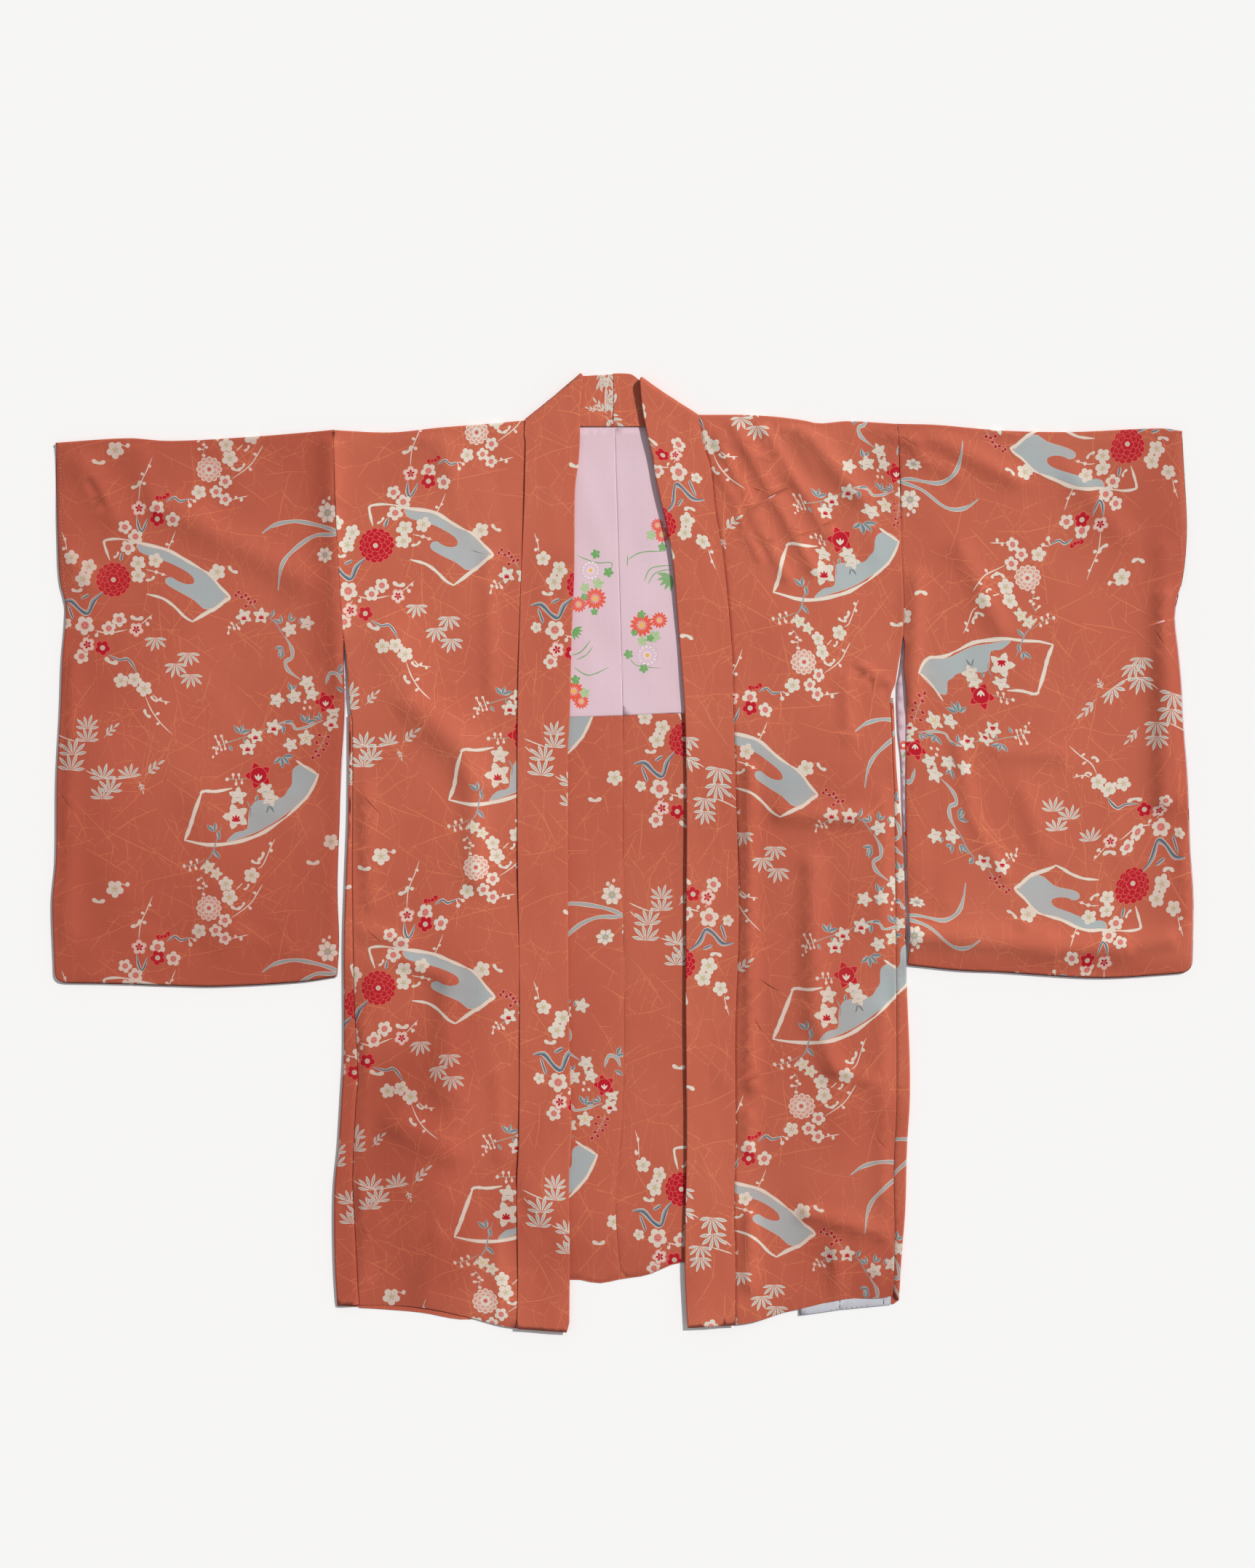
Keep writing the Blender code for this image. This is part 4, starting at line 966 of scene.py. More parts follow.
def frost_lines():
    """Fine needles of lighter dye all over the ground, crossing at all angles, with short branches."""
    draws = random.Random(7)
    shapes = []
    for column in range(9):
        for row in range(12):
            u = (column + draws.uniform(0.05, 0.95)) * 40
            v = (row + draws.uniform(0.05, 0.95)) * REPEAT / 12
            turn = draws.choice((0.35, 0.75, 1.25, 1.75, 2.3, 2.8)) + draws.uniform(-0.22, 0.22)
            length = draws.uniform(28, 80)
            middle = beyond(u, v, turn + draws.uniform(-0.16, 0.16), length / 2)
            end = beyond(*middle, turn + draws.uniform(-0.16, 0.16), length / 2)
            shapes.append(stroke(((u, v), middle, end), draws.uniform(0.5, 0.75), "frost", 1, (0.6, 0.6)))
            for at in (0.3, 0.85):
                foot = tuple(mix(np.array((u, v)), np.array(end), at + draws.uniform(-0.1, 0.1)))
                branch = turn + draws.choice((-1, 1)) * draws.uniform(0.5, 1.2)
                tip = beyond(*foot, branch, draws.uniform(7, 24))
                shapes.append(stroke((foot, tip), draws.uniform(0.45, 0.7), "frost", 1, (1, 0.5)))
    return shapes


def brushed(width, points, paint):
    """A stem or a bough. A broad one has a pale edge, and its shaded side is darker."""
    if width < BROAD_STEM:
        return [stroke(points, width, paint, 4)]
    beside = [(u + 0.16 * width, v + 0.16 * width) for u, v in points]
    return [
        stroke(points, width + 0.6, "cream", 4),
        stroke(points, width - 0.4, paint, 4),
        stroke(beside, width * 0.42, "slate" if paint == "branch" else "leaf_pale", 3),
    ]


def fan_shape(fill, edges):
    """A fan: its misty fill with a pale edge, and the brushed lines round it, each outlined."""
    fill = smooth_path(fill, 3, closed=True)
    middle = fill.mean(axis=0)
    shapes = [(middle + (fill - middle) * size, paint) for size, paint in ((1.035, "blush"), (1.02, "fan"))]
    for extra, paint in ((0.6, "line"), (-0.1, "cream")):
        shapes += [stroke(points, width + extra, paint, 3, (0.3, 0.3)) for width, points in edges]
    return shapes


def one_repeat():
    """Every printed shape of one repeat, in the order in which it is painted."""
    shapes = frost_lines()
    for fan in FANS:
        shapes += fan_shape(fan["fill"], fan["brushed"])
    for paint, width, points in STEMS:
        shapes += brushed(width, points, paint)
    stems = np.vstack([smooth_path(points, 12) for _, _, points in STEMS])
    drawings = (
        (leaf_spray, LEAVES), (bamboo, BAMBOO), (sprig, SPRIGS), (orchid, ORCHIDS),
        (bud, [(*row, stems) for row in BUDS]), (berry, [(*row, stems) for row in RED_BERRIES]),
        (half_blossom, HALF_BLOSSOMS), (chrysanthemum, CHRYSANTHEMUMS), (bellflower, BELLFLOWERS),
        (plum, PLUMS),
    )
    for draw, rows in drawings:
        for row in rows:
            shapes += draw(*row)
    return shapes


PRINT = one_repeat()
# What is painted in these is left out of the print on the underside.
FINE_PAINTS = ("line", "stamen", "slate", "frost", "coral", "coral_pale", "pollen", "vein", "brick", "blush")
UNDERSIDE_PRINT = [shape for shape in PRINT if shape[1] not in FINE_PAINTS]


def drawn(points, pins):
    """Points moved as the cloth was drawn out of true: each pin tells how far it is there, in x and y."""
    if not pins:
        return points
    spots = np.array(pins, float)
    gaps = points[:, None, :] - spots[None, :, :2]
    # The nearest pins count most. A pin reaches farther along the cloth than across it.
    weights = 1 / (gaps[..., 0] ** 2 + (gaps[..., 1] / 1.6) ** 2 + 60.0) ** 1.5
    return points + (weights[..., None] * spots[None, :, 2:]).sum(axis=1) / weights.sum(axis=1)[:, None]


def printed(shapes, corner, low, high, pins=()):
    """The print's shapes that may touch a box. corner is x and y of a repeat's corner, and whether
    the cloth lies turned: upright, u runs along +x and v along -y; turned, the other way round."""
    across, up, turned = corner
    way = -1 if turned else 1
    low = np.array(low)
    high = np.array(high)
    found = []
    for repeat in range(-5, 6):
        for outline, paint in shapes:
            x = across + way * outline[:, 0]
            y = up - way * (outline[:, 1] + repeat * REPEAT)
            shown = np.stack([x, y], axis=1)
            if (shown.max(axis=0) < low - PIN_REACH).any() or (shown.min(axis=0) > high + PIN_REACH).any():
                continue
            shown = drawn(shown, pins)
            if (shown.max(axis=0) > low).all() and (shown.min(axis=0) < high).all():
                found.append((shown, paint))
    return found


def box_of(outline):
    """The low and the high corner of an outline's box."""
    return outline.min(axis=0), outline.max(axis=0)


def printed_on(outline, corner, pins=()):
    """The print's shapes that may touch a piece."""
    return printed(PRINT, corner, *box_of(outline), pins)


def printed_over(outline, fold, corner, pins):
    """The print on a piece that is folded over: past the fold it lies underneath, with less detail."""
    low, high = box_of(outline)
    under = printed(UNDERSIDE_PRINT, corner, (low[0], fold), high, pins)
    return under + printed(PRINT, corner, low, (high[0], fold), pins)


def touching(shapes, outline):
    """Those of some placed shapes that may touch a piece."""
    low, high = box_of(outline)
    return [
        (shape, paint) for shape, paint in shapes
        if (shape.max(axis=0) > low).all() and (shape.min(axis=0) < high).all()
    ]


def inside(outline, points):
    """Which points lie inside a closed outline."""
    x, y = points.T
    found = np.zeros(len(points), bool)
    for (x0, y0), (x1, y1) in zip(outline, np.roll(outline, -1, axis=0)):
        if y0 == y1:
            continue
        crosses = (y0 > y) != (y1 > y)
        found ^= crosses & (x < (x1 - x0) * (y - y0) / (y1 - y0) + x0)
    return found


def away(points, line):
    """The distance from each point to a line of points."""
    best = np.full(len(points), np.inf)
    for start, end in zip(line, line[1:]):
        run = end - start
        share = np.clip(((points - start) @ run) / max(run @ run, 1e-9), 0, 1)
        best = np.minimum(best, np.linalg.norm(points - start - share[:, None] * run, axis=1))
    return best


def anticlockwise(loop):
    """A closed outline, turned round where it runs clockwise."""
    x, y = loop.T
    return loop if np.dot(x, np.roll(y, -1)) > np.dot(y, np.roll(x, -1)) else loop[::-1]


def flat_area(loop):
    x, y = loop.T
    return abs(np.dot(x, np.roll(y, -1)) - np.dot(y, np.roll(x, -1))) / 2


def cut(outline, shapes, pitch, lines=(), seed=1):
    """A flat piece cut along its printed shapes: points, triangles, paints and the outline's points."""
    points = []
    faces = []
    edges = []
    for loop in [outline, *(shape for shape, _ in shapes)]:
        faces.append(list(range(len(points), len(points) + len(loop))))
        points.extend(map(tuple, anticlockwise(loop)))
    for line in lines:
        start = len(points)
        points.extend(map(tuple, line))
        edges += [(start + k, start + k + 1) for k in range(len(line) - 1)]
    jitter = np.random.default_rng(seed)
    low, high = box_of(outline)
    across, up = np.meshgrid(np.arange(low[0], high[0], pitch), np.arange(low[1], high[1], pitch * ROW_PITCH))
    across[1::2] += pitch / 2
    filling = np.stack([across.ravel(), up.ravel()], axis=1)
    filling += jitter.uniform(-PITCH_SHIFT * pitch, PITCH_SHIFT * pitch, filling.shape)
    filling = filling[inside(outline, filling)]
    clear = away(filling, np.vstack([outline, outline[:1]])) > EDGE_CLEARANCE
    points.extend(map(tuple, filling[clear]))
    flat, _, triangles, homes, _, sources = delaunay_2d_cdt(
        [Vector(point) for point in points], edges, faces, 1, CUT_PRECISION, True
    )
    names = ["ground", *(paint for _, paint in shapes)]
    a, b, c = (np.array([tuple(flat[triangle[k]]) for triangle in triangles]) for k in range(3))
    sizes = np.abs((b - a)[:, 0] * (c - a)[:, 1] - (b - a)[:, 1] * (c - a)[:, 0]) / 2
    owners = np.concatenate([list(source) for source in sources if source]).astype(int)
    covered = np.bincount(owners, np.repeat(sizes, [len(source) for source in sources]), len(names))
    own = np.array([np.inf] + [flat_area(shape) for shape, _ in shapes])
    # A shape that is thinner than the cutting can keep may come back as the whole sheet.
    spilled = set(np.flatnonzero(covered > 2 * own + 15).tolist())
    kept = [
        (triangle, names[max(set(source) - spilled)])
        for triangle, source in zip(triangles, sources)
        if 0 in source
    ]
    used, corners = np.unique([triangle for triangle, _ in kept], return_inverse=True)
    place = {old: new for new, old in enumerate(used)}
    rim = [0] * len(outline)
    for index, home in enumerate(homes):
        for source in home:
            if source < len(outline):
                rim[source] = place[index]
    flat = np.array([tuple(flat[index]) for index in used])
    return flat, corners.reshape(-1, 3).tolist(), [paint for _, paint in kept], rim


def rim_of(triangles):
    """The points of a cut piece's rim, in order."""
    ends = {(a, b) for triangle in triangles for a, b in zip(triangle, triangle[1:] + triangle[:1])}
    following = {a: b for a, b in ends if (b, a) not in ends}
    loop = [next(iter(following))]
    while following[loop[-1]] != loop[0]:
        loop.append(following[loop[-1]])
    return loop


def laid(lay, flat, step=0.04):
    """Points of the flat piece where the cloth lies, and the way that its outer face looks there."""
    here = lay(flat)
    normal = np.cross(lay(flat + (step, 0)) - here, lay(flat + (0, step)) - here)
    return here, normal / np.maximum(np.linalg.norm(normal, axis=1, keepdims=True), 1e-12)


def inner_normals(lay, flat, triangles):
    """The normals of the inner face, each the mean of the triangles round its point."""
    corners = np.array(triangles)
    _, facing_out = laid(lay, flat[corners].mean(axis=1))
    normals = np.full((len(flat), 3), 1e-9)
    for k in range(3):
        np.add.at(normals, corners[:, k], -facing_out)
    return normals / np.linalg.norm(normals, axis=1, keepdims=True)


def shaded(mesh, laid_normals, rim):
    """Gives a mesh the normals of the laid faces, and on its rim the mesh's own."""
    mesh.polygons.foreach_set("use_smooth", np.ones(len(mesh.polygons), bool))
    normals = np.empty((len(mesh.vertices), 3), np.float32)
    mesh.vertices.foreach_get("normal", normals.ravel())
    off_rim = np.ones(len(normals), bool)
    off_rim[rim] = False
    normals[off_rim] = laid_normals[off_rim]
    mesh.normals_split_custom_set_from_vertices(normals.tolist())


def dyed(mesh, corners, paints, depths):
    """Stores the print's colours, the faces of bare ground and how much darker each point is painted, for
    deeper dye and painted shade.
    """
    paints = paints + ["ground"] * (len(corners) - len(paints))
    colours = np.array([[*PAINT_COLOURS[paint], 1.0] for paint in paints])
    colours = np.repeat(colours, [len(corner) for corner in corners], axis=0)
    mesh.color_attributes.new("print", "BYTE_COLOR", "CORNER").data.foreach_set("color", colours.ravel())
    ground = mesh.attributes.new("ground", "FLOAT", "FACE")
    ground.data.foreach_set("value", [float(paint == "ground") for paint in paints])
    mesh.attributes.new("dye_and_shade_depth", "FLOAT", "POINT").data.foreach_set("value", depths)


def cloth(
    name, outline, lay, shapes, face, inner, lines=(),
    wall=SILK_WALL, pitch=CLOTH_PITCH, turned_in=None, depth=0.0,
):
    """A laid piece with a wall: its printed face, its plain inner face and the rim that joins them.

    turned_in tells at which x, y the cloth itself shows on the inner face, as at a hem. depth is
    how much darker than usual its colour is painted, from 0 to 1, for deeper dye and painted shade
    together. Gives the piece, its flat size and its area.
    """
    flat, triangles, paints, _ = cut(outline, shapes, pitch, lines, len(name))
    loop = rim_of(triangles)
    inner_flat, inner_triangles, _, inner_rim = cut(flat[loop], (), pitch * INNER_PITCH, (), len(name) + 1)
    face_spots, facing_out = laid(lay, flat)
    inner_spots, facing_out_inside = laid(lay, inner_flat)
    sunk = INNER_SINK * (facing_out_inside[:, 2] > 0.5)
    sunk[inner_rim] = 0
    spots = np.vstack([face_spots, inner_spots - (wall + sunk)[:, None] * facing_out_inside])
    spots[:, 2] = np.maximum(spots[:, 2], 0)

    count = len(flat)
    corners = triangles + [[c + count, b + count, a + count] for a, b, c in inner_triangles]
    around = loop[1:] + loop[:1]
    inner_around = inner_rim[1:] + inner_rim[:1]
    for a, b, inner_a, inner_b in zip(loop, around, inner_rim, inner_around):
        quad = [b, a, inner_a + count, inner_b + count]
        corners.append(quad if inner_a != inner_b else quad[:3])

    mesh = bpy.data.meshes.new(name)
    mesh.from_pydata(placed(*spots.T).tolist(), [], corners)
    shaded(mesh, np.vstack([facing_out, inner_normals(lay, inner_flat, inner_triangles)]), loop)
    # The colour is darkened for deeper dye and for painted shade.
    dyed(mesh, corners, paints, np.clip(depth + ridges(DYE_AND_SHADE_DEPTHS, spots[:, :2]), 0, 1))

    mesh.materials.append(face)
    mesh.materials.append(inner)
    slots = np.zeros(len(corners), np.int32)
    inside_faces = np.arange(len(triangles), len(triangles) + len(inner_triangles))
    slots[inside_faces] = 1
    if turned_in:
        middles = np.array([spots[corners[index]].mean(axis=0) for index in inside_faces])
        slots[inside_faces[turned_in(middles[:, 0], middles[:, 1])]] = 0
    mesh.polygons.foreach_set("material_index", slots)
    mesh.update()
    piece = bpy.data.objects.new(name, mesh)
    bpy.context.scene.collection.objects.link(piece)
    low, high = box_of(outline)
    return piece, tuple(float(size) for size in METRES * (high - low)), METRES**2 * flat_area(outline)


def declare(made, node):
    """Hangs a piece of cloth from the root, and hides the solid that it stands for. node is that
    solid, if any."""
    piece, size, area = made
    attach(piece, "root")
    if node:
        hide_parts(node)
    return piece


# Edges as rows of points, in the measures of the pieces.


def upright(table, low, high, step=11.0):
    """An upright edge from one y to another, in either direction."""
    ys = np.linspace(low, high, max(2, int(abs(high - low) / step) + 1))
    return np.stack([curve(table, ys), ys], axis=1)


def level(table, left, right, step=11.0):
    """A level edge from one x to another, in either direction."""
    xs = np.linspace(left, right, max(2, int(abs(right - left) / step) + 1))
    return np.stack([xs, curve(table, xs)], axis=1)


def insets(line, outline, distances):
    """Copies of an edge moved into the piece, which carry the round of the edge."""
    run = np.gradient(line, axis=0)
    run /= np.maximum(np.linalg.norm(run, axis=1, keepdims=True), 1e-9)
    side = np.stack([-run[:, 1], run[:, 0]], axis=1)
    if inside(outline, line + 2 * side).mean() < 0.5:
        side = -side
    rows = [line + distance * side for distance in distances]
    return [row[inside(outline, row)] for row in rows if inside(outline, row).sum() > 1]


def rounding(distance, radius):
    """How far a face has fallen at a distance from the edge that it rounds to."""
    short = np.clip(radius - distance, 0, radius)
    return radius - np.sqrt(np.maximum(radius**2 - short**2, 0))


def groove(distance, depth, width):
    """How far a face dips beside a seam."""
    return depth * np.exp(-((distance / width) ** 2))


def settle(distance, depth, width):
    """How far a loose edge sinks towards what lies below it."""
    share = np.clip(1 - distance / width, 0, 1)
    return depth * share * share


def ridges(table, points):
    """The height of soft folds or creases at points. A row that starts at the last one's end joins it."""
    height = np.zeros(len(points))
    joined = np.zeros(len(points))
    end = None
    for x0, y0, x1, y1, width, peak in table:
        start = np.array((x0, y0), float)
        run = np.array((x1 - x0, y1 - y0), float)
        share = np.clip(((points - start) @ run) / (run @ run), 0, 1)
        gone = np.linalg.norm(points - start - share[:, None] * run, axis=1)
        row = peak * np.exp(-((gone / width) ** 2))
        if (x0, y0) != end:
            height += joined
            joined = np.zeros(len(points))
        joined = np.where(np.abs(row) > np.abs(joined), row, joined)
        end = (x1, y1)
    return height + joined


def soft_folds(points):
    """The height of the soft folds, eased off so that none stands higher than FOLD_LIMIT."""
    height = ridges(SOFT_FOLDS, points)
    spare = FOLD_LIMIT - FOLD_EASE
    return np.where(height > FOLD_EASE, FOLD_EASE + spare * np.tanh((height - FOLD_EASE) / spare), height)


def swells(points):
    """Slight swells that leave no part of the cloth dead flat."""
    x, y = points.T
    total = np.zeros(len(points))
    for across, up, phase, height in SWELLS:
        total += height * np.sin(2 * math.pi * (x / across + y / up) + phase + 0.6 * np.sin(y / 71))
    return total


def smoothstep(share):
    """A share that leaves nought and reaches one softly."""
    share = np.clip(share, 0, 1)
    return share * share * (3 - 2 * share)


def folded_over(gone, width, radius):
    """A strip folded over at a width: how far round the fold its points have turned, and how far
    across it they lie, at a distance gone from its near edge."""
    turn = np.clip((gone - width) / radius, 0, math.pi)
    length = 2 * width + math.pi * radius
    far = gone > width + math.pi * radius
    return turn, np.where(far, length - gone, np.minimum(gone, width) + radius * np.sin(turn))


class Layers:
    """A front and a back in one cloth, folded over at the shoulder line.

    The flat piece is measured in x and in q, which is y on the front, runs on round the fold
    and then down the back.
    """

    def __init__(self, shoulder):
        self.shoulder = shoulder

    def crest(self, x):
        return curve(self.shoulder, x) - FOLD_RADIUS

    def behind(self, line):
        """Points of the back, in the flat piece's measures."""
        x, y = line.T
        return np.stack([x, 2 * self.crest(x) + FOLD_LENGTH - y], axis=1)

    def across_fold(self, x):
        """Points round the fold at one x, between the front and the back."""
        q = self.crest(x) + FOLD_LENGTH * np.array((0.25, 0.5, 0.75))
        return np.stack([np.full(3, x), q], axis=1)

    def fold_lines(self, left, right):
        """Lines along the fold, which carry its round."""
        xs = np.linspace(left, right, 25)
        shares = (0, 0.2, 0.4, 0.6, 0.8, 1)
        return [np.stack([xs, self.crest(xs) + FOLD_LENGTH * share], axis=1) for share in shares]

    def lay(self, flat, lift, rise):
        """The outer face. lift and rise are how far the front and the back leave their levels."""
        x, q = flat.T
        crest = self.crest(x)
        turn, y = folded_over(q, crest, FOLD_RADIUS)
        z = FOLD_RADIUS * (1 + np.cos(turn))
        z = z + np.where(q <= crest, lift, 0) + np.where(q >= crest + FOLD_LENGTH, rise, 0)
        return np.stack([x, y, z], axis=1)


def body(side, face, inner):
    """One length of cloth: up the front, over the shoulder and down the back to the hem."""
    half_gap = side["inward"] * SEAM_GAP / 2
    cloths = Layers(side["shoulder"])
    outer = moved(side["side_seam"], half_gap)
    seam = moved(side["collar_seam"], -half_gap)
    centre = moved(CENTRE_SEAM, -half_gap)
    outer_foot, outer_top = curve(outer, SIDE_ENDS)
    seam_foot, seam_top = curve(seam, COLLAR_SEAM_ENDS)
    centre_foot, centre_top = curve(centre, CENTRE_ENDS)
    crest_out = cloths.crest(outer_top)
    crest_in = cloths.crest(seam_top)
    front_hem = level(side["front_hem"], outer_foot, seam_foot)
    collar_seam = upright(seam, front_hem[-1, 1], crest_in)
    neck = cloths.behind(level(NECKLINE, seam_top, centre_top))
    centre_seam = cloths.behind(upright(centre, NECKLINE_Y, curve(BACK_HEM, -2)))
    back_hem = cloths.behind(level(BACK_HEM, centre_foot, outer_foot))
    back_side = cloths.behind(upright(outer, curve(BACK_HEM, outer_foot), crest_out))
    front_side = upright(outer, crest_out, front_hem[0, 1])
    outline = np.vstack([
        front_hem[:-1], collar_seam, cloths.across_fold(seam_top), neck, centre_seam[1:-1], back_hem,
        back_side[1:], cloths.across_fold(outer_top)[::-1], front_side[:-1],
    ])

    def lay(flat):
        away_from_side = np.minimum(away(flat, front_side), away(flat, cloths.across_fold(outer_top)))
        away_from_fold = np.abs(flat[:, 1] - cloths.crest(flat[:, 0]))
        from_hem = away(flat, front_hem)
        from_collar = away(flat, collar_seam)
        free_side = np.where(flat[:, 1] < ARMHOLE_END, away_from_side, 99)
        calm = smoothstep(np.minimum(free_side, away_from_fold) / 14)
        fine_calm = smoothstep(np.minimum(away_from_side, away_from_fold) / 9)
        calm = calm * mix(0.3, 1.0, smoothstep(from_hem / 45))
        lift = soft_folds(flat) * calm + (ridges(CREASES, flat) + swells(flat)) * fine_calm
        side_dip = np.where(flat[:, 1] > ARMHOLE_END, side["armhole_dip"], 0.4)
        lift = lift - groove(away_from_side, side_dip, 0.9) - groove(from_collar, *side["seam_dip"])
        lift = lift - rounding(from_hem, 0.6) - settle(from_hem, 2.7, 20)
        rise = np.zeros(len(flat))
        for line in (back_side, centre_seam, neck):
            rise = rise + groove(away(flat, line), 0.35, 1.2)
        rise = rise + rounding(away(flat, back_hem), 0.4)
        return cloths.lay(flat, lift, rise)

    shapes = printed_over(outline, crest_out + FOLD_LENGTH / 2, side["body_print"], side["body_pins"])
    lines = cloths.fold_lines(outer_top, seam_top)
    for line in (front_side, collar_seam):
        lines += insets(line, outline, (0.7, 1.6, 3.2))
    lines += insets(front_hem, outline, (0.2, 0.6, 4.0))
    made = cloth(
        f"body_{side['name']}_silk", outline, lay, shapes, face, inner, lines,
        turned_in=lambda x, y: y < FACING_TOP,
    )
    return declare(made, f"body_{side['name']}")


def sleeve(side, face, inner):
    """A flat tube of cloth, folded at the top and sewn at the foot and the outer edge."""
    inward = side["inward"]
    away_from_body = -inward * SEAM_GAP / 2
    cloths = Layers(side["sleeve_top"])
    armhole = tuple(row for row in side["side_seam"] if row[0] >= ARMHOLE_END)
    furi = moved(side["front_furi"] + armhole, away_from_body)
    back_furi = moved(side["back_furi"] + armhole, away_from_body)
    inner_top = curve(furi, SIDE_ENDS[1])
    corner_x, outer_top = curve(side["sleeve_outer"], SLEEVE_ENDS)
    crest_in = cloths.crest(inner_top)
    crest_out = cloths.crest(outer_top)
    foot_in = curve(furi, SLEEVE_ENDS[0])
    foot_y = curve(side["sleeve_bottom"], foot_in)
    corner = np.array((corner_x, curve(side["sleeve_bottom"], corner_x)))

    def edges(peek):
        """The foot, the rounded corner and the closed outer edge, then the open cuff edge."""
        foot = level(side["sleeve_bottom"], foot_in, corner[0] + inward * SLEEVE_CORNER)
        rise = upright(side["sleeve_outer"], corner[1] + SLEEVE_CORNER, side["cuff_end"])
        t = np.linspace(0, 1, 7)[1:-1, None]
        bend = (1 - t) ** 2 * foot[-1] + 2 * t * (1 - t) * corner + t**2 * rise[0]
        cuff = upright(side["sleeve_outer"], side["cuff_end"], crest_out)
        out = np.sin(np.linspace(0, math.pi, len(cuff))) ** 0.5
        cuff = cuff + np.stack([-inward * peek * out, 0 * out], axis=1)
        return np.vstack([foot, bend, rise]), cuff

    closed, cuff = edges(0.0)
    back_closed, back_cuff = edges(side["cuff_peek"])
    back_closed = cloths.behind(back_closed)
    back_cuff = cloths.behind(back_cuff)
    front_inner = upright(furi, crest_in, foot_y)
    back_inner = cloths.behind(upright(back_furi, foot_y, crest_in))
    outline = np.vstack([
        closed[:-1], cuff, cloths.across_fold(outer_top), back_cuff[::-1], back_closed[::-1][1:],
        back_inner[1:], cloths.across_fold(inner_top)[::-1], front_inner[:-1],
    ])
    front_open = front_inner[front_inner[:, 1] < ARMHOLE_END]
    front_seam = front_inner[front_inner[:, 1] >= ARMHOLE_END - 8]
    start_x = curve(back_furi, ARMHOLE_END)
    back_split = cloths.behind(np.array(((start_x, ARMHOLE_END),)))[0, 1]
    back_seam = back_inner[back_inner[:, 1] <= back_split]

    def lay(flat):
        from_closed = away(flat, closed)
        from_seam = away(flat, front_seam)
        from_furi = away(flat, front_open)
        from_cuff = away(flat, cuff)
        from_fold = np.abs(flat[:, 1] - cloths.crest(flat[:, 0]))
        calm = smoothstep(np.minimum(np.minimum(from_closed, from_cuff), from_fold) / 14)
        fine_calm = smoothstep(np.minimum(from_closed, from_fold) / 9)
        lift = soft_folds(flat) * calm + (ridges(CREASES, flat) + swells(flat)) * fine_calm
        lift = lift - rounding(from_closed, FOLD_RADIUS) - groove(from_seam, side["armhole_dip"], 0.9)
        lift = lift - rounding(from_furi, 0.9) - settle(from_furi, 1.3, 7)
        lift = lift - rounding(from_cuff, 0.9) - settle(from_cuff, 1.6, 8)
        rise = rounding(away(flat, back_closed), FOLD_RADIUS) + groove(away(flat, back_seam), 0.35, 1.2)
        rise = rise + rounding(away(flat, back_cuff), 0.6)
        return cloths.lay(flat, lift, rise)

    shapes = printed_over(outline, crest_out + FOLD_LENGTH / 2, side["sleeve_print"], side["sleeve_pins"])
    lines = cloths.fold_lines(inner_top, outer_top)
    lines += insets(closed, outline, (0.25, 0.9, 2.6)) + insets(back_closed, outline, (0.25, 0.9, 2.6))
    for line in (front_seam, front_open, cuff):
        lines += insets(line, outline, (0.3, 1.0, 3.0))
    made = cloth(
        f"sleeve_{side['name']}_silk", outline, lay, shapes, face, inner, lines, depth=side["sleeve_dye_and_shade_depth"]
    )
    return declare(made, f"sleeve_{side['name']}")


def strip(start, way, ys, spans, count):
    """A long strip of cloth, flat: its near and far edges, its two ends and its outline."""
    near = np.stack([np.full(len(ys), start), ys], axis=1)
    far = np.stack([start + way * spans, ys], axis=1)
    ends = [np.stack([np.linspace(start, far[k, 0], count), np.full(count, ys[k])], axis=1) for k in (0, -1)]
    outline = np.vstack([ends[0][:-1], far, ends[1][::-1][1:-1], near[::-1][:-1]])
    return near, far, ends, outline


def round_lines(middle, way, radius, ys):
    """Lines along the fold of a strip, which carry its round."""
    arc = math.pi * radius
    return [np.stack([middle + way * arc * share, ys], axis=1)[1:-1] for share in (0, 0.25, 0.5, 0.75, 1)]


def gusset(side, face):
    """A narrow strip, folded lengthwise, that joins the front to the back at the side."""
    outward_way = -side["inward"]
    seam = moved(side["side_seam"], outward_way * SEAM_GAP)
    start = curve(seam, -300.0)
    foot = curve(side["front_hem"], start)
    drop = curve(BACK_HEM, start) - foot
    ys = np.linspace(foot, side["gusset_top"], 70)

    def flat_width(y):
        return np.maximum(np.abs(curve(side["gusset_fold"], y) - curve(seam, y)) - FOLD_RADIUS, 1.0)

    near, _, _, outline = strip(start, outward_way, ys, 2 * flat_width(ys) + FOLD_LENGTH, 9)

    def lay(flat):
        x_flat, y = flat.T
        p = outward_way * (x_flat - start)
        width = flat_width(y)
        turn, reach = folded_over(p, width, FOLD_RADIUS)
        x = curve(seam, y) + outward_way * reach
        z = FOLD_RADIUS * (1 + np.cos(turn))
        share = p / (2 * width + FOLD_LENGTH)
        from_foot = y - foot
        fall = groove(p, 1.0, 1.5) + rounding(from_foot, 1.0)
        y_laid = y + drop * share * (1 - smoothstep(from_foot / 120))
        return np.stack([x, y_laid, z - np.where(p <= width, fall, 0)], axis=1)

    shapes = printed_on(outline, side["gusset_print"])
    lines = round_lines(start + outward_way * flat_width(ys), outward_way, FOLD_RADIUS, ys)
    lines += insets(near, outline, (0.7, 1.6))
    made = cloth(f"gusset_{side['name']}_silk", outline, lay, shapes, face, face, lines, pitch=NARROW_PITCH)
    return declare(made, f"gusset_{side['name']}")


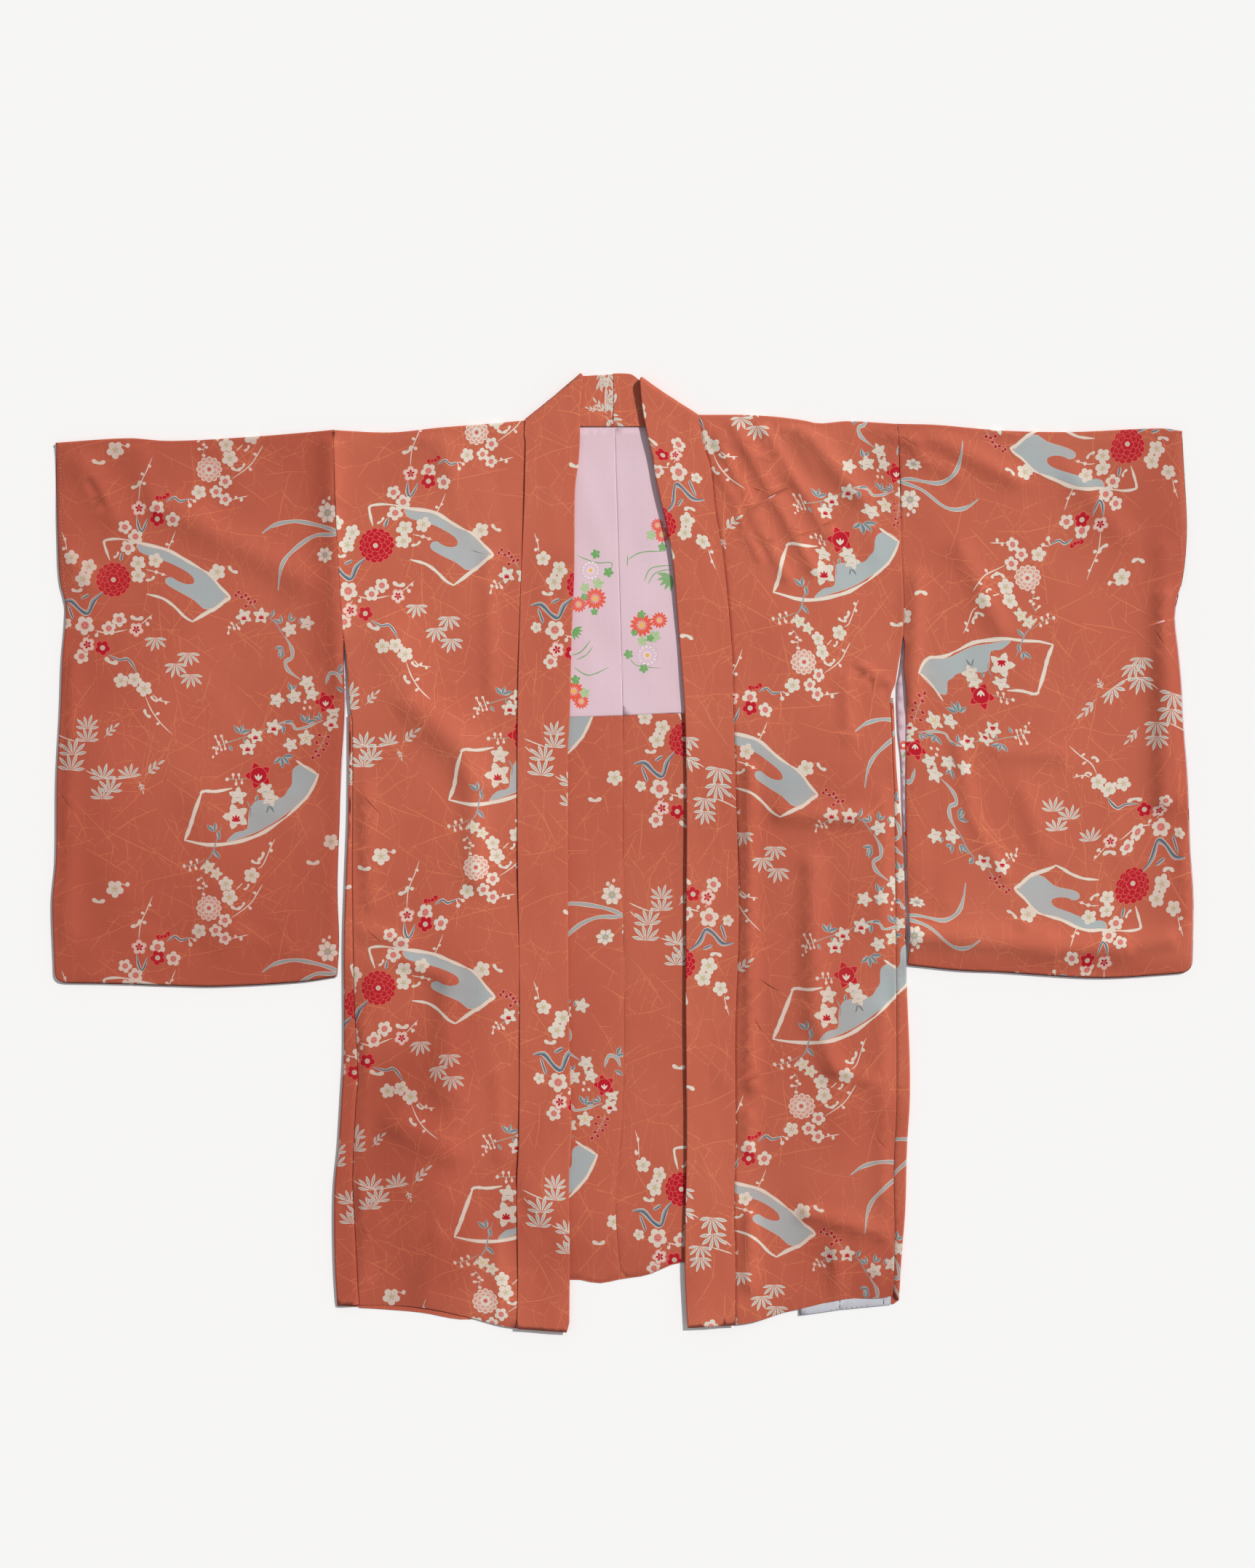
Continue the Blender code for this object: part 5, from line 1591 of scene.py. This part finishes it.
def band_sections(side):
    """The collar band's middle layer as rows: place along it, seam x, y, z and free edge x, y, z."""
    inward = side["inward"]
    rows = []
    seam_foot, seam_top = curve(side["collar_seam"], COLLAR_SEAM_ENDS)
    foot = curve(side["front_hem"], seam_foot)
    top = curve(side["shoulder"], seam_top) - FOLD_RADIUS
    for y in np.linspace(foot, NECK_TURN_Y, 80):
        share = (y - foot) / (top - foot)
        free_y = y + mix(*side["band_slant"], share)
        seam_x = curve(side["collar_seam"], y) + inward * SEAM_GAP / 2
        lift = side["turn"][-1][4] * max(4 * share - 3, 0.0)
        rows.append((y, seam_x, y, BAND_LEVEL, curve(side["collar_edge"], free_y), free_y, BAND_LEVEL + lift))
    spots = [(*ends[:2], BAND_LEVEL, *ends[2:4], BAND_LEVEL + ends[4]) for ends in side["turn"][::-1]]
    before_turn = np.array(side["turn"][0][:4])
    after_turn = np.array(side["neck"][-1][:4])
    seam_x, seam_y, free_x, free_y = after_turn
    length = math.hypot(free_x - seam_x, free_y - seam_y)
    out_x = -inward * (free_y - seam_y) / length
    out_y = abs(free_x - seam_x) / length
    radius = (BAND_LEVEL - NECK_LEVEL) / 2
    for step in (1, 2, 3):
        reach = radius * math.sin(math.pi * step / 4)
        z = BAND_LEVEL - radius * (1 - math.cos(math.pi * step / 4))
        x, y = out_x * reach, out_y * reach
        free_z = z + side["turn"][0][4] * (1 - step / 4)
        seam_x, seam_y, free_x, free_y = mix(before_turn, after_turn, step / 4)
        spots.append((seam_x + x, seam_y + y, z, free_x + x, free_y + y, free_z))
    spots += [(*ends[:2], NECK_LEVEL, *ends[2:4], NECK_LEVEL) for ends in side["neck"][::-1]]
    for spot in spots:
        before = np.array(rows[-1][1:])
        gone = np.linalg.norm((np.array(spot) - before).reshape(2, 3).mean(axis=0))
        rows.append((rows[-1][0] + gone, *spot))
    return np.array(rows)


def collar(side, face):
    """Half of the collar band, from the foot of the front up over the neck to the centre back."""
    way = side["inward"]
    rows = band_sections(side)
    places = rows[:, 0]
    tables = [np.stack([places, column], axis=1) for column in rows[:, 1:].T]
    start = side["band_start"]

    def ends_at(place):
        values = np.stack([curve(table, place) for table in tables], axis=1)
        return values[:, :3], values[:, 3:]

    def flat_width(place):
        seam_end, free_end = ends_at(place)
        return np.linalg.norm(free_end - seam_end, axis=1) - BAND_HALF

    ys = np.concatenate([
        np.linspace(places[0], NECK_TURN_Y, 90), np.linspace(NECK_TURN_Y, places[-1], 30)[1:],
    ])
    spans = 2 * flat_width(ys) + math.pi * BAND_HALF
    near, far, ends, outline = strip(start, way, ys, spans, 16)

    def lay(flat):
        x_flat, place = flat.T
        p = way * (x_flat - start)
        seam_end, free_end = ends_at(place)
        width = np.linalg.norm(free_end - seam_end, axis=1) - BAND_HALF
        across = (free_end - seam_end) / (width + BAND_HALF)[:, None]
        after = sum(ends_at(place + 1.0))
        before = sum(ends_at(place - 1.0))
        up = way * np.cross(across, after - before)
        up /= np.maximum(np.linalg.norm(up, axis=1, keepdims=True), 1e-9)
        turn, reach = folded_over(p, width, BAND_HALF)
        from_near = np.minimum(p, 2 * width + math.pi * BAND_HALF - p)
        edge = np.minimum(from_near, place - places[0])
        thick = BAND_HALF * np.cos(turn)
        thin = 1 - rounding(np.clip(edge, 0, None), 0.7) / 0.7 * 0.8
        ripple = 0.35 * swells(np.stack([p * 3, place], axis=1)) * np.clip(from_near / 12, 0, 1)
        ripple = ripple + ridges(BAND_CREASES, np.stack([start + way * reach, place], axis=1))
        return seam_end + across * reach[:, None] + up * (thick * thin + ripple)[:, None]

    shapes = printed_on(outline, side["band_print"], side["band_pins"])
    for kind, gone, height, size, lean in side["neck_leaves"]:
        draw = bamboo if kind == "tuft" else sprig
        turn = lean if way > 0 else math.pi - lean
        shapes += draw(far[-1, 0] - way * height, far[-1, 1] - gone, size, turn)
    lines = round_lines(start + way * flat_width(ys), way, BAND_HALF, ys)
    lines += insets(near, outline, (0.2, 0.7)) + insets(far, outline, (0.2, 0.7))
    lines += insets(ends[1], outline, (0.4,))
    # Lines across the band where it turns over at the shoulder, which carry the turn.
    for place in np.linspace(rows[-9, 0], rows[-4, 0], 9):
        across_turn = np.linspace(start + way * 2, start + way * (float(np.interp(place, ys, spans)) - 2), 40)
        lines.append(np.stack([across_turn, np.full(40, place)], axis=1))
    made = cloth(f"collar_{side['name']}_silk", outline, lay, shapes, face, face, lines, pitch=NARROW_PITCH)
    return declare(made, f"collar_{side['name']}")


def flat_layer(name, outline, top, shapes, face, sinks=(), wave=0.0, lines=(), depth=0.0):
    """A single layer that lies inside the garment. sinks are rows of (line, depth, width)."""

    def lay(flat):
        z = top + wave * swells(flat * 1.7) + wave * 0.6 * np.sin(flat[:, 1] / 19 + flat[:, 0] / 43)
        z = z + ridges(LINING_CREASES, flat) * (wave > 0)
        for line, depth, width in sinks:
            z = z - groove(away(flat, line), depth, width)
        return np.stack([flat[:, 0], flat[:, 1], z], axis=1)

    return cloth(name, outline, lay, shapes, face, face, lines, wall=LINING_WALL, depth=depth)


def facing(side, face):
    """The silk of the back, turned up inside it from the hem to the foot of the lining."""
    half_gap = side["inward"] * SEAM_GAP / 2
    centre = moved(CENTRE_SEAM, -half_gap)
    outer_x = side["facing_edge"]
    hem = level(BACK_HEM, outer_x, curve(centre, CENTRE_ENDS[0]))
    seam = upright(centre, hem[-1, 1], FACING_TOP)
    outline = np.vstack([hem, seam[1:], [(outer_x, FACING_TOP)]])
    shapes = printed_on(outline, side["facing_print"], side["facing_pins"])
    sinks = ((hem, 0.9, 1.2), (seam, 0.35, 1.3))
    lines = insets(hem, outline, (0.4, 1.4)) + insets(seam, outline, (0.6, 1.6))
    made = flat_layer(f"facing_{side['name']}", outline, FACING_FACE, shapes, face, sinks, 0.12, lines, 0.3)
    return declare(made, None)


def lining_bloom(x, y, size, turn):
    """The small flower of the sleeve's lining."""
    return [
        lobed(x, y, size, 5, 0.3, "lining_orange", turn, 0.8, 5),
        blob(x, y, size * 0.35, "lining_white", 8),
    ]


def lining_shapes():
    """The print of the lining inside the neck."""
    shapes = [stroke(points, width, "lining_green", 5) for width, points in LINING_STEMS]
    for kind, x, y, size, turn in LINING_MOTIFS:
        if kind == "aster":
            shapes += aster(x, y, size, "lining_orange", "lining_gold", turn)
        elif kind == "line":
            shapes.append(lobed(x, y, size, 12, 0.2, "lining_line", turn, 0.8, 3))
            shapes.append(lobed(x, y, size - 0.7, 12, 0.2, "lining_white", turn, 0.8, 3))
            shapes += aster(x, y, size - 0.9, "lining", "lining_gold", turn)
        elif kind == "leaf":
            shapes += lobed_leaf(x, y, size, "lining_green", "lining_pale", turn)
        elif kind == "pale":
            shapes += lobed_leaf(x, y, size, "lining_pale", "lining_green", turn)
        else:
            for k in range(5):
                shapes.append(lens(x, y, size * 0.7, size * 0.2, turn + 0.42 * (k - 2), "lining_green", 5))
    return shapes


def linings(side, face):
    """The pink lining: the part inside the neck, and the strip that shows at the sleeve's open edge."""
    name = side["name"]
    half_gap = side["inward"] * SEAM_GAP / 2
    centre = moved(CENTRE_SEAM, -half_gap)
    outer = side["lining_side"]
    hem = level(LINING_HEM, outer[0][1], curve(centre, 151.0))
    seam = upright(centre, hem[-1, 1], LINING_TOP)
    top = level(((-120, LINING_TOP), (130, LINING_TOP)), curve(centre, LINING_TOP), outer[-1][1])
    edge = upright(outer, LINING_TOP, hem[0, 1])
    outline = np.vstack([hem[:-1], seam[:-1], top[:-1], edge[:-1]])
    shapes = touching(lining_shapes(), outline)
    sinks = ((hem, 0.3, 0.8), (seam, 0.28, 0.9))
    lines = insets(seam, outline, (0.6, 1.8)) + insets(hem, outline, (0.5, 1.4))
    made = flat_layer(f"back_lining_{name}_silk", outline, INSIDE_FACE, shapes, face, sinks, 0.3, lines=lines)
    back = declare(made, f"back_lining_{name}")

    away_from_body = -side["inward"]
    furi = upright(moved(side["back_furi"], away_from_body * 0.6), FURI_LINING_FOOT, FURI_TOP, 8.0)
    inner = upright(moved(side["back_furi"], away_from_body * FURI_LINING_WIDTH), FURI_TOP, FURI_LINING_FOOT)
    outline = np.vstack([furi, inner])
    shapes = []
    for kind, x, y, size, turn in FURI_MOTIFS:
        if kind == "bloom":
            shapes += lining_bloom(x, y, size, turn)
        elif kind == "leaf":
            shapes += leaf(x, y, size, turn, "lining_green", "lining_pale", "lining_pale")
    shapes = touching(shapes, outline)
    sinks = ((furi, 0.4, 1.0),)
    made = flat_layer(f"sleeve_lining_{name}_silk", outline, INSIDE_FACE, shapes, face, sinks, 0.2)
    return back, declare(made, f"sleeve_lining_{name}")


def hem_band(face):
    """The pale cotton band that shows below the right front, with its seams."""
    foot = level(HEM_BAND_FOOT, *HEM_BAND_ENDS)
    outline = np.vstack([foot, [(HEM_BAND_ENDS[1], HEM_BAND_TOP), (HEM_BAND_ENDS[0], HEM_BAND_TOP)]])
    seams = [np.array(((x, -520.0), (x + 1.5, HEM_BAND_TOP))) for x in HEM_BAND_SEAMS]
    sinks = [(seam, 0.7, 0.8) for seam in seams] + [(foot, 0.4, 1.0)]
    lines = [row for seam in seams for row in insets(seam, outline, (0.5,))] + insets(foot, outline, (0.5,))
    made = flat_layer("hem_band_cotton", outline, INSIDE_FACE + 0.3, [], face, sinks, 0.15, lines=lines)
    return declare(made, "hem_band")


def stitches(name, piece, line, length, gap, width, finish):
    """Small stitches sewn along a line, each a slim bead half sunk in the cloth of the piece."""
    steps = np.linalg.norm(np.diff(line, axis=0), axis=1)
    places = np.concatenate([[0], np.cumsum(steps)])
    beads = []
    for at in np.arange(gap / 2, places[-1] - length, length + gap):
        start, end = (
            np.array((np.interp(place, places, line[:, 0]), np.interp(place, places, line[:, 1])))
            for place in (at, at + length)
        )
        _, spot, _, _ = piece.ray_cast(Vector(placed(*(start + end) / 2, 1000.0)), Vector((0, 0, -1)))
        bpy.ops.mesh.primitive_uv_sphere_add(
            segments=6, ring_count=4, radius=0.5 * METRES, location=spot,
            rotation=(0, 0, math.atan2(end[1] - start[1], end[0] - start[0])), scale=(length, width, width),
        )
        beads.append(bpy.context.object)
    for bead in beads:
        bead.select_set(True)
    bpy.ops.object.join()
    bpy.ops.object.transform_apply(location=True, rotation=True, scale=True)
    bpy.ops.object.shade_smooth()
    made = bpy.context.object
    made.name = name
    made.data.name = name
    made.data.materials.append(finish)
    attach(made, "root")
    bpy.ops.object.select_all(action="DESELECT")
    return made


# Materials. A wave texture of scale 1 repeats every 0.314 m.
WAVE_LENGTH = 0.314


def node(tree, kind, inputs=None, links=None, **settings):
    """Adds a node with its settings, its input values and the links into it."""
    made = tree.nodes.new(kind)
    for name, value in settings.items():
        setattr(made, name, value)
    for name, value in (inputs or {}).items():
        made.inputs[name].default_value = value
    for name, socket in (links or {}).items():
        tree.links.new(socket, made.inputs[name])
    return made


def new_finish(name, roughness, sheen, specular):
    """A cloth's material: itself, its node tree, its shader and the place of each point."""
    finish = bpy.data.materials.new(name)
    finish.use_nodes = True
    tree = finish.node_tree
    surface = tree.nodes["Principled BSDF"]
    surface.inputs["Roughness"].default_value = roughness
    surface.inputs["Sheen Weight"].default_value = sheen
    surface.inputs["Sheen Roughness"].default_value = 0.45
    surface.inputs["Specular IOR Level"].default_value = specular
    spot = node(tree, "ShaderNodeTexCoord").outputs["Object"]
    return finish, tree, surface, spot


def woven_relief(tree, surface, spot, thread, depth, slub):
    """The pebbled face of cloth: two crossed sets of crinkled threads, at a spacing in metres, with
    slubs. Silk threads lie 0.15 mm apart, too fine to show, so they are drawn coarser. Gives the
    height, which is small in the hollows between threads."""
    heights = []
    for direction in ("X", "Y"):
        threads = node(
            tree, "ShaderNodeTexWave",
            {"Scale": WAVE_LENGTH / thread, "Distortion": 3.0, "Detail": 1.0, "Detail Scale": 1.6},
            {"Vector": spot}, wave_type="BANDS", bands_direction=direction,
        )
        heights.append(threads.outputs["Fac"])
    slubs = node(
        tree, "ShaderNodeTexNoise", {"Scale": slub, "Detail": 3.0, "Roughness": 0.6}, {"Vector": spot}
    )
    woven = node(tree, "ShaderNodeMath", {}, {0: heights[0], 1: heights[1]}, operation="ADD").outputs[0]
    total = node(tree, "ShaderNodeMath", {}, {0: woven, 1: slubs.outputs["Fac"]}, operation="ADD").outputs[0]
    bump = node(tree, "ShaderNodeBump", {"Strength": 0.35, "Distance": depth}, {"Height": total})
    tree.links.new(bump.outputs["Normal"], surface.inputs["Normal"])
    return total


def tinted(tree, colour, tints):
    """Lays tints over a colour, which is a socket or a hex code. A row of tints is a value, where
    it gives none of the tint and where all, its full strength, how it is laid on and the tint."""
    for value, none_at, all_at, strength, blend, tint in tints:
        amount = node(
            tree, "ShaderNodeMapRange",
            {"From Min": none_at, "From Max": all_at, "To Max": strength}, {"Value": value},
        )
        inputs = {7: (*linear(tint), 1.0)}
        links = {0: amount.outputs["Result"]}
        if isinstance(colour, str):
            inputs[6] = (*linear(colour), 1.0)
        else:
            links[6] = colour
        colour = node(tree, "ShaderNodeMix", inputs, links, data_type="RGBA", blend_type=blend).outputs[2]
    return colour


def crackle(tree, spot, ground):
    """Two nets of fine cracks in the dye, frayed and broken off here and there, on the ground alone."""
    shares = [ground]
    for scale, detail, none_at, all_at in ((13.0, 2.0, 0.40, 0.50), (420.0, 1.0, 0.36, 0.56)):
        gaps = node(tree, "ShaderNodeTexNoise", {"Scale": scale, "Detail": detail}, {"Vector": spot})
        share = node(
            tree, "ShaderNodeMapRange",
            {"From Min": none_at, "From Max": all_at}, {"Value": gaps.outputs["Fac"]},
        )
        shares.append(share.outputs["Result"])
    nets = []
    for size, width, strength, turn in ((0.030, 0.0006, 0.45, 0.4), (0.024, 0.0005, 0.42, 2.0)):
        along = node(
            tree, "ShaderNodeMapping",
            {"Rotation": (0.0, 0.0, turn), "Scale": (1.0, 0.5, 1.0)}, {"Vector": spot},
        )
        cells = node(
            tree, "ShaderNodeTexVoronoi", {"Scale": 1 / size}, {"Vector": along.outputs["Vector"]},
            feature="DISTANCE_TO_EDGE", voronoi_dimensions="2D",
        )
        edge = width / size
        crack = node(
            tree, "ShaderNodeMapRange", {"From Min": edge, "From Max": 0.25 * edge, "To Max": strength},
            {"Value": cells.outputs["Distance"]},
        ).outputs["Result"]
        for share in shares:
            crack = node(tree, "ShaderNodeMath", {}, {0: crack, 1: share}, operation="MULTIPLY").outputs[0]
        nets.append(crack)
    return nets


def printed_crepe():
    """Silk crepe, dyed persimmon red and printed: soft and nearly matt, with a faint bloom
    at grazing angles, a crackle of lighter dye, places painted darker, for deeper dye and for
    painted shade, a few painted less dark, and painted shade in the hollows of the weave."""
    finish, tree, surface, spot = new_finish("printed_silk_crepe", 0.74, 0.06, 0.22)
    printed_colour, ground, dye_and_shade_depth = (
        node(tree, "ShaderNodeAttribute", attribute_name=name) for name in ("print", "ground", "dye_and_shade_depth")
    )
    tints = [(crack, 0.0, 1.0, 1.0, "MIX", "#E28E62") for crack in crackle(tree, spot, ground.outputs["Fac"])]
    patches = node(
        tree, "ShaderNodeTexNoise", {"Scale": 7.0, "Detail": 4.0, "Roughness": 0.55}, {"Vector": spot}
    )
    height = woven_relief(tree, surface, spot, 0.0012, 0.00025, 900.0)
    tints += [
        (patches.outputs["Fac"], 0.48, 0.72, 0.16, "MIX", "#D57E62"),
        (patches.outputs["Fac"], 0.47, 0.28, 0.16, "MULTIPLY", "#C8A8A0"),
        # Deeper dye and painted shade darken the colour here.
        (dye_and_shade_depth.outputs["Fac"], 0.0, 1.0, 1.0, "MULTIPLY", "#E0CFCE"),
        # Painted shade: the hollows between threads are darkened.
        (height, 1.5, 0.7, 0.14, "MULTIPLY", "#B08878"),
    ]
    colour = tinted(tree, printed_colour.outputs["Color"], tints)
    tree.links.new(colour, surface.inputs["Base Color"])
    return finish


def lining_silk():
    """Plain-woven habutai silk, pale pink: smoother than the crepe, with a soft low shine."""
    finish, tree, surface, spot = new_finish("lining_silk_habutai", 0.55, 0.12, 0.35)
    printed_colour, ground = (
        node(tree, "ShaderNodeAttribute", attribute_name=name) for name in ("print", "ground")
    )
    patches = node(tree, "ShaderNodeTexNoise", {"Scale": 9.0, "Detail": 3.0}, {"Vector": spot})
    height = woven_relief(tree, surface, spot, 0.0009, 0.00012, 400.0)
    colour = tinted(tree, printed_colour.outputs["Color"], (
        (ground.outputs["Fac"], 0.0, 1.0, 1.0, "MIX", PAINTS["lining"]),
        (patches.outputs["Fac"], 0.45, 0.7, 0.22, "MIX", "#E6D2DC"),
        # Painted shade: the hollows between threads are darkened.
        (height, 1.5, 0.7, 0.10, "MULTIPLY", "#C8B4BE"),
    ))
    tree.links.new(colour, surface.inputs["Base Color"])
    return finish


def pale_cotton():
    """Bleached cotton tape, plain woven: matt, faintly lilac, with a visible thread."""
    finish, tree, surface, spot = new_finish("pale_cotton_tape", 0.85, 0.08, 0.2)
    stains = node(tree, "ShaderNodeTexNoise", {"Scale": 30.0, "Detail": 3.0}, {"Vector": spot})
    height = woven_relief(tree, surface, spot, 0.0010, 0.0002, 500.0)
    colour = tinted(tree, "#C6C8D0", (
        (stains.outputs["Fac"], 0.4, 0.7, 0.3, "MIX", "#B7AEB6"),
        # Painted shade: the hollows between threads are darkened.
        (height, 1.5, 0.7, 0.2, "MULTIPLY", "#A8A4B0"),
    ))
    tree.links.new(colour, surface.inputs["Base Color"])
    return finish


def sewing_thread(name, lit, ply_shade):
    """Spun silk thread: small, matt and twisted, with painted shade between its plies."""
    finish, tree, surface, spot = new_finish(name, 0.7, 0.1, 0.3)
    plies = node(tree, "ShaderNodeTexNoise", {"Scale": 1400.0, "Detail": 1.0}, {"Vector": spot})
    colour = tinted(tree, lit, ((plies.outputs["Fac"], 0.4, 0.6, 0.4, "MIX", ply_shade),))
    tree.links.new(colour, surface.inputs["Base Color"])
    return finish


def stage():
    """A plain pale floor, one soft sun from the upper right and even light all round."""
    bpy.ops.mesh.primitive_plane_add(size=14, location=(0, 0, -0.0004))
    floor = bpy.context.object
    floor.name = "floor"
    plaster = bpy.data.materials.new("matt_white_floor")
    plaster.use_nodes = True
    surface = plaster.node_tree.nodes["Principled BSDF"]
    surface.inputs["Base Color"].default_value = (0.92, 0.92, 0.92, 1.0)
    surface.inputs["Roughness"].default_value = 0.9
    surface.inputs["Specular IOR Level"].default_value = 0.1
    floor.data.materials.append(plaster)
    world = bpy.data.worlds.new("even_light")
    world.use_nodes = True
    world.node_tree.nodes["Background"].inputs["Color"].default_value = (0.94, 0.965, 1.0, 1.0)
    world.node_tree.nodes["Background"].inputs["Strength"].default_value = 0.38
    bpy.context.scene.world = world
    lamp = bpy.data.lights.new("sun", "SUN")
    lamp.energy = 2.92
    lamp.angle = math.radians(3)
    lamp.color = (1.0, 0.975, 0.945)
    sun = bpy.data.objects.new("sun", lamp)
    sun.rotation_euler = Vector((0.56, 0.47, 0.72)).to_track_quat("Z", "Y").to_euler()
    bpy.context.scene.collection.objects.link(sun)


def camera():
    """Straight above the laid jacket, with its hem at the foot of the frame."""
    lens_data = bpy.data.cameras.new("camera")
    lens_data.lens = 61.7
    lens_data.clip_end = 50
    eye = bpy.data.objects.new("camera", lens_data)
    eye.location = (0.0055, 0.0766, 3.0)
    bpy.context.scene.collection.objects.link(eye)
    bpy.context.scene.camera = eye
    bpy.context.scene.view_settings.view_transform = "Standard"


crepe = printed_crepe()
lining = lining_silk()
cotton = pale_cotton()
red_thread = sewing_thread("red_silk_thread", "#8E2A22", "#5E1712")
brown_thread = sewing_thread("brown_silk_thread", "#5E3F3A", "#3A2624")
pale_thread = sewing_thread("pale_silk_thread", "#D9C3C0", "#A98F8C")
for side in (LEFT, RIGHT):
    body(side, crepe, lining)
    tube = sleeve(side, crepe, lining)
    gusset(side, crepe)
    collar(side, crepe)
    facing(side, crepe)
    linings(side, lining)
    bpy.context.view_layer.update()
    cuff = upright(moved(side["sleeve_outer"], side["inward"] * 4.4), *side["cuff_sewn"])
    stitches(f"cuff_stitches_{side['name']}", tube, cuff, 0.9, 3.1, 0.7, pale_thread)
band = hem_band(cotton)
bpy.context.view_layer.update()
stitches("hem_band_stitches", band, level(HEM_BAND_FOOT, 230.0, 278.0) + (0, 1.3), 1.7, 4.0, 0.8, red_thread)
for number, x in enumerate((HEM_BAND_ENDS[0] + 0.8, *HEM_BAND_SEAMS), 1):
    seam = np.array(((x, curve(HEM_BAND_FOOT, x) + 0.5), (x + 1.0, -480.0)))
    stitches(f"hem_band_seam_{number}", band, seam, 7.0, 0.0, 0.9, brown_thread)
stage()
camera()
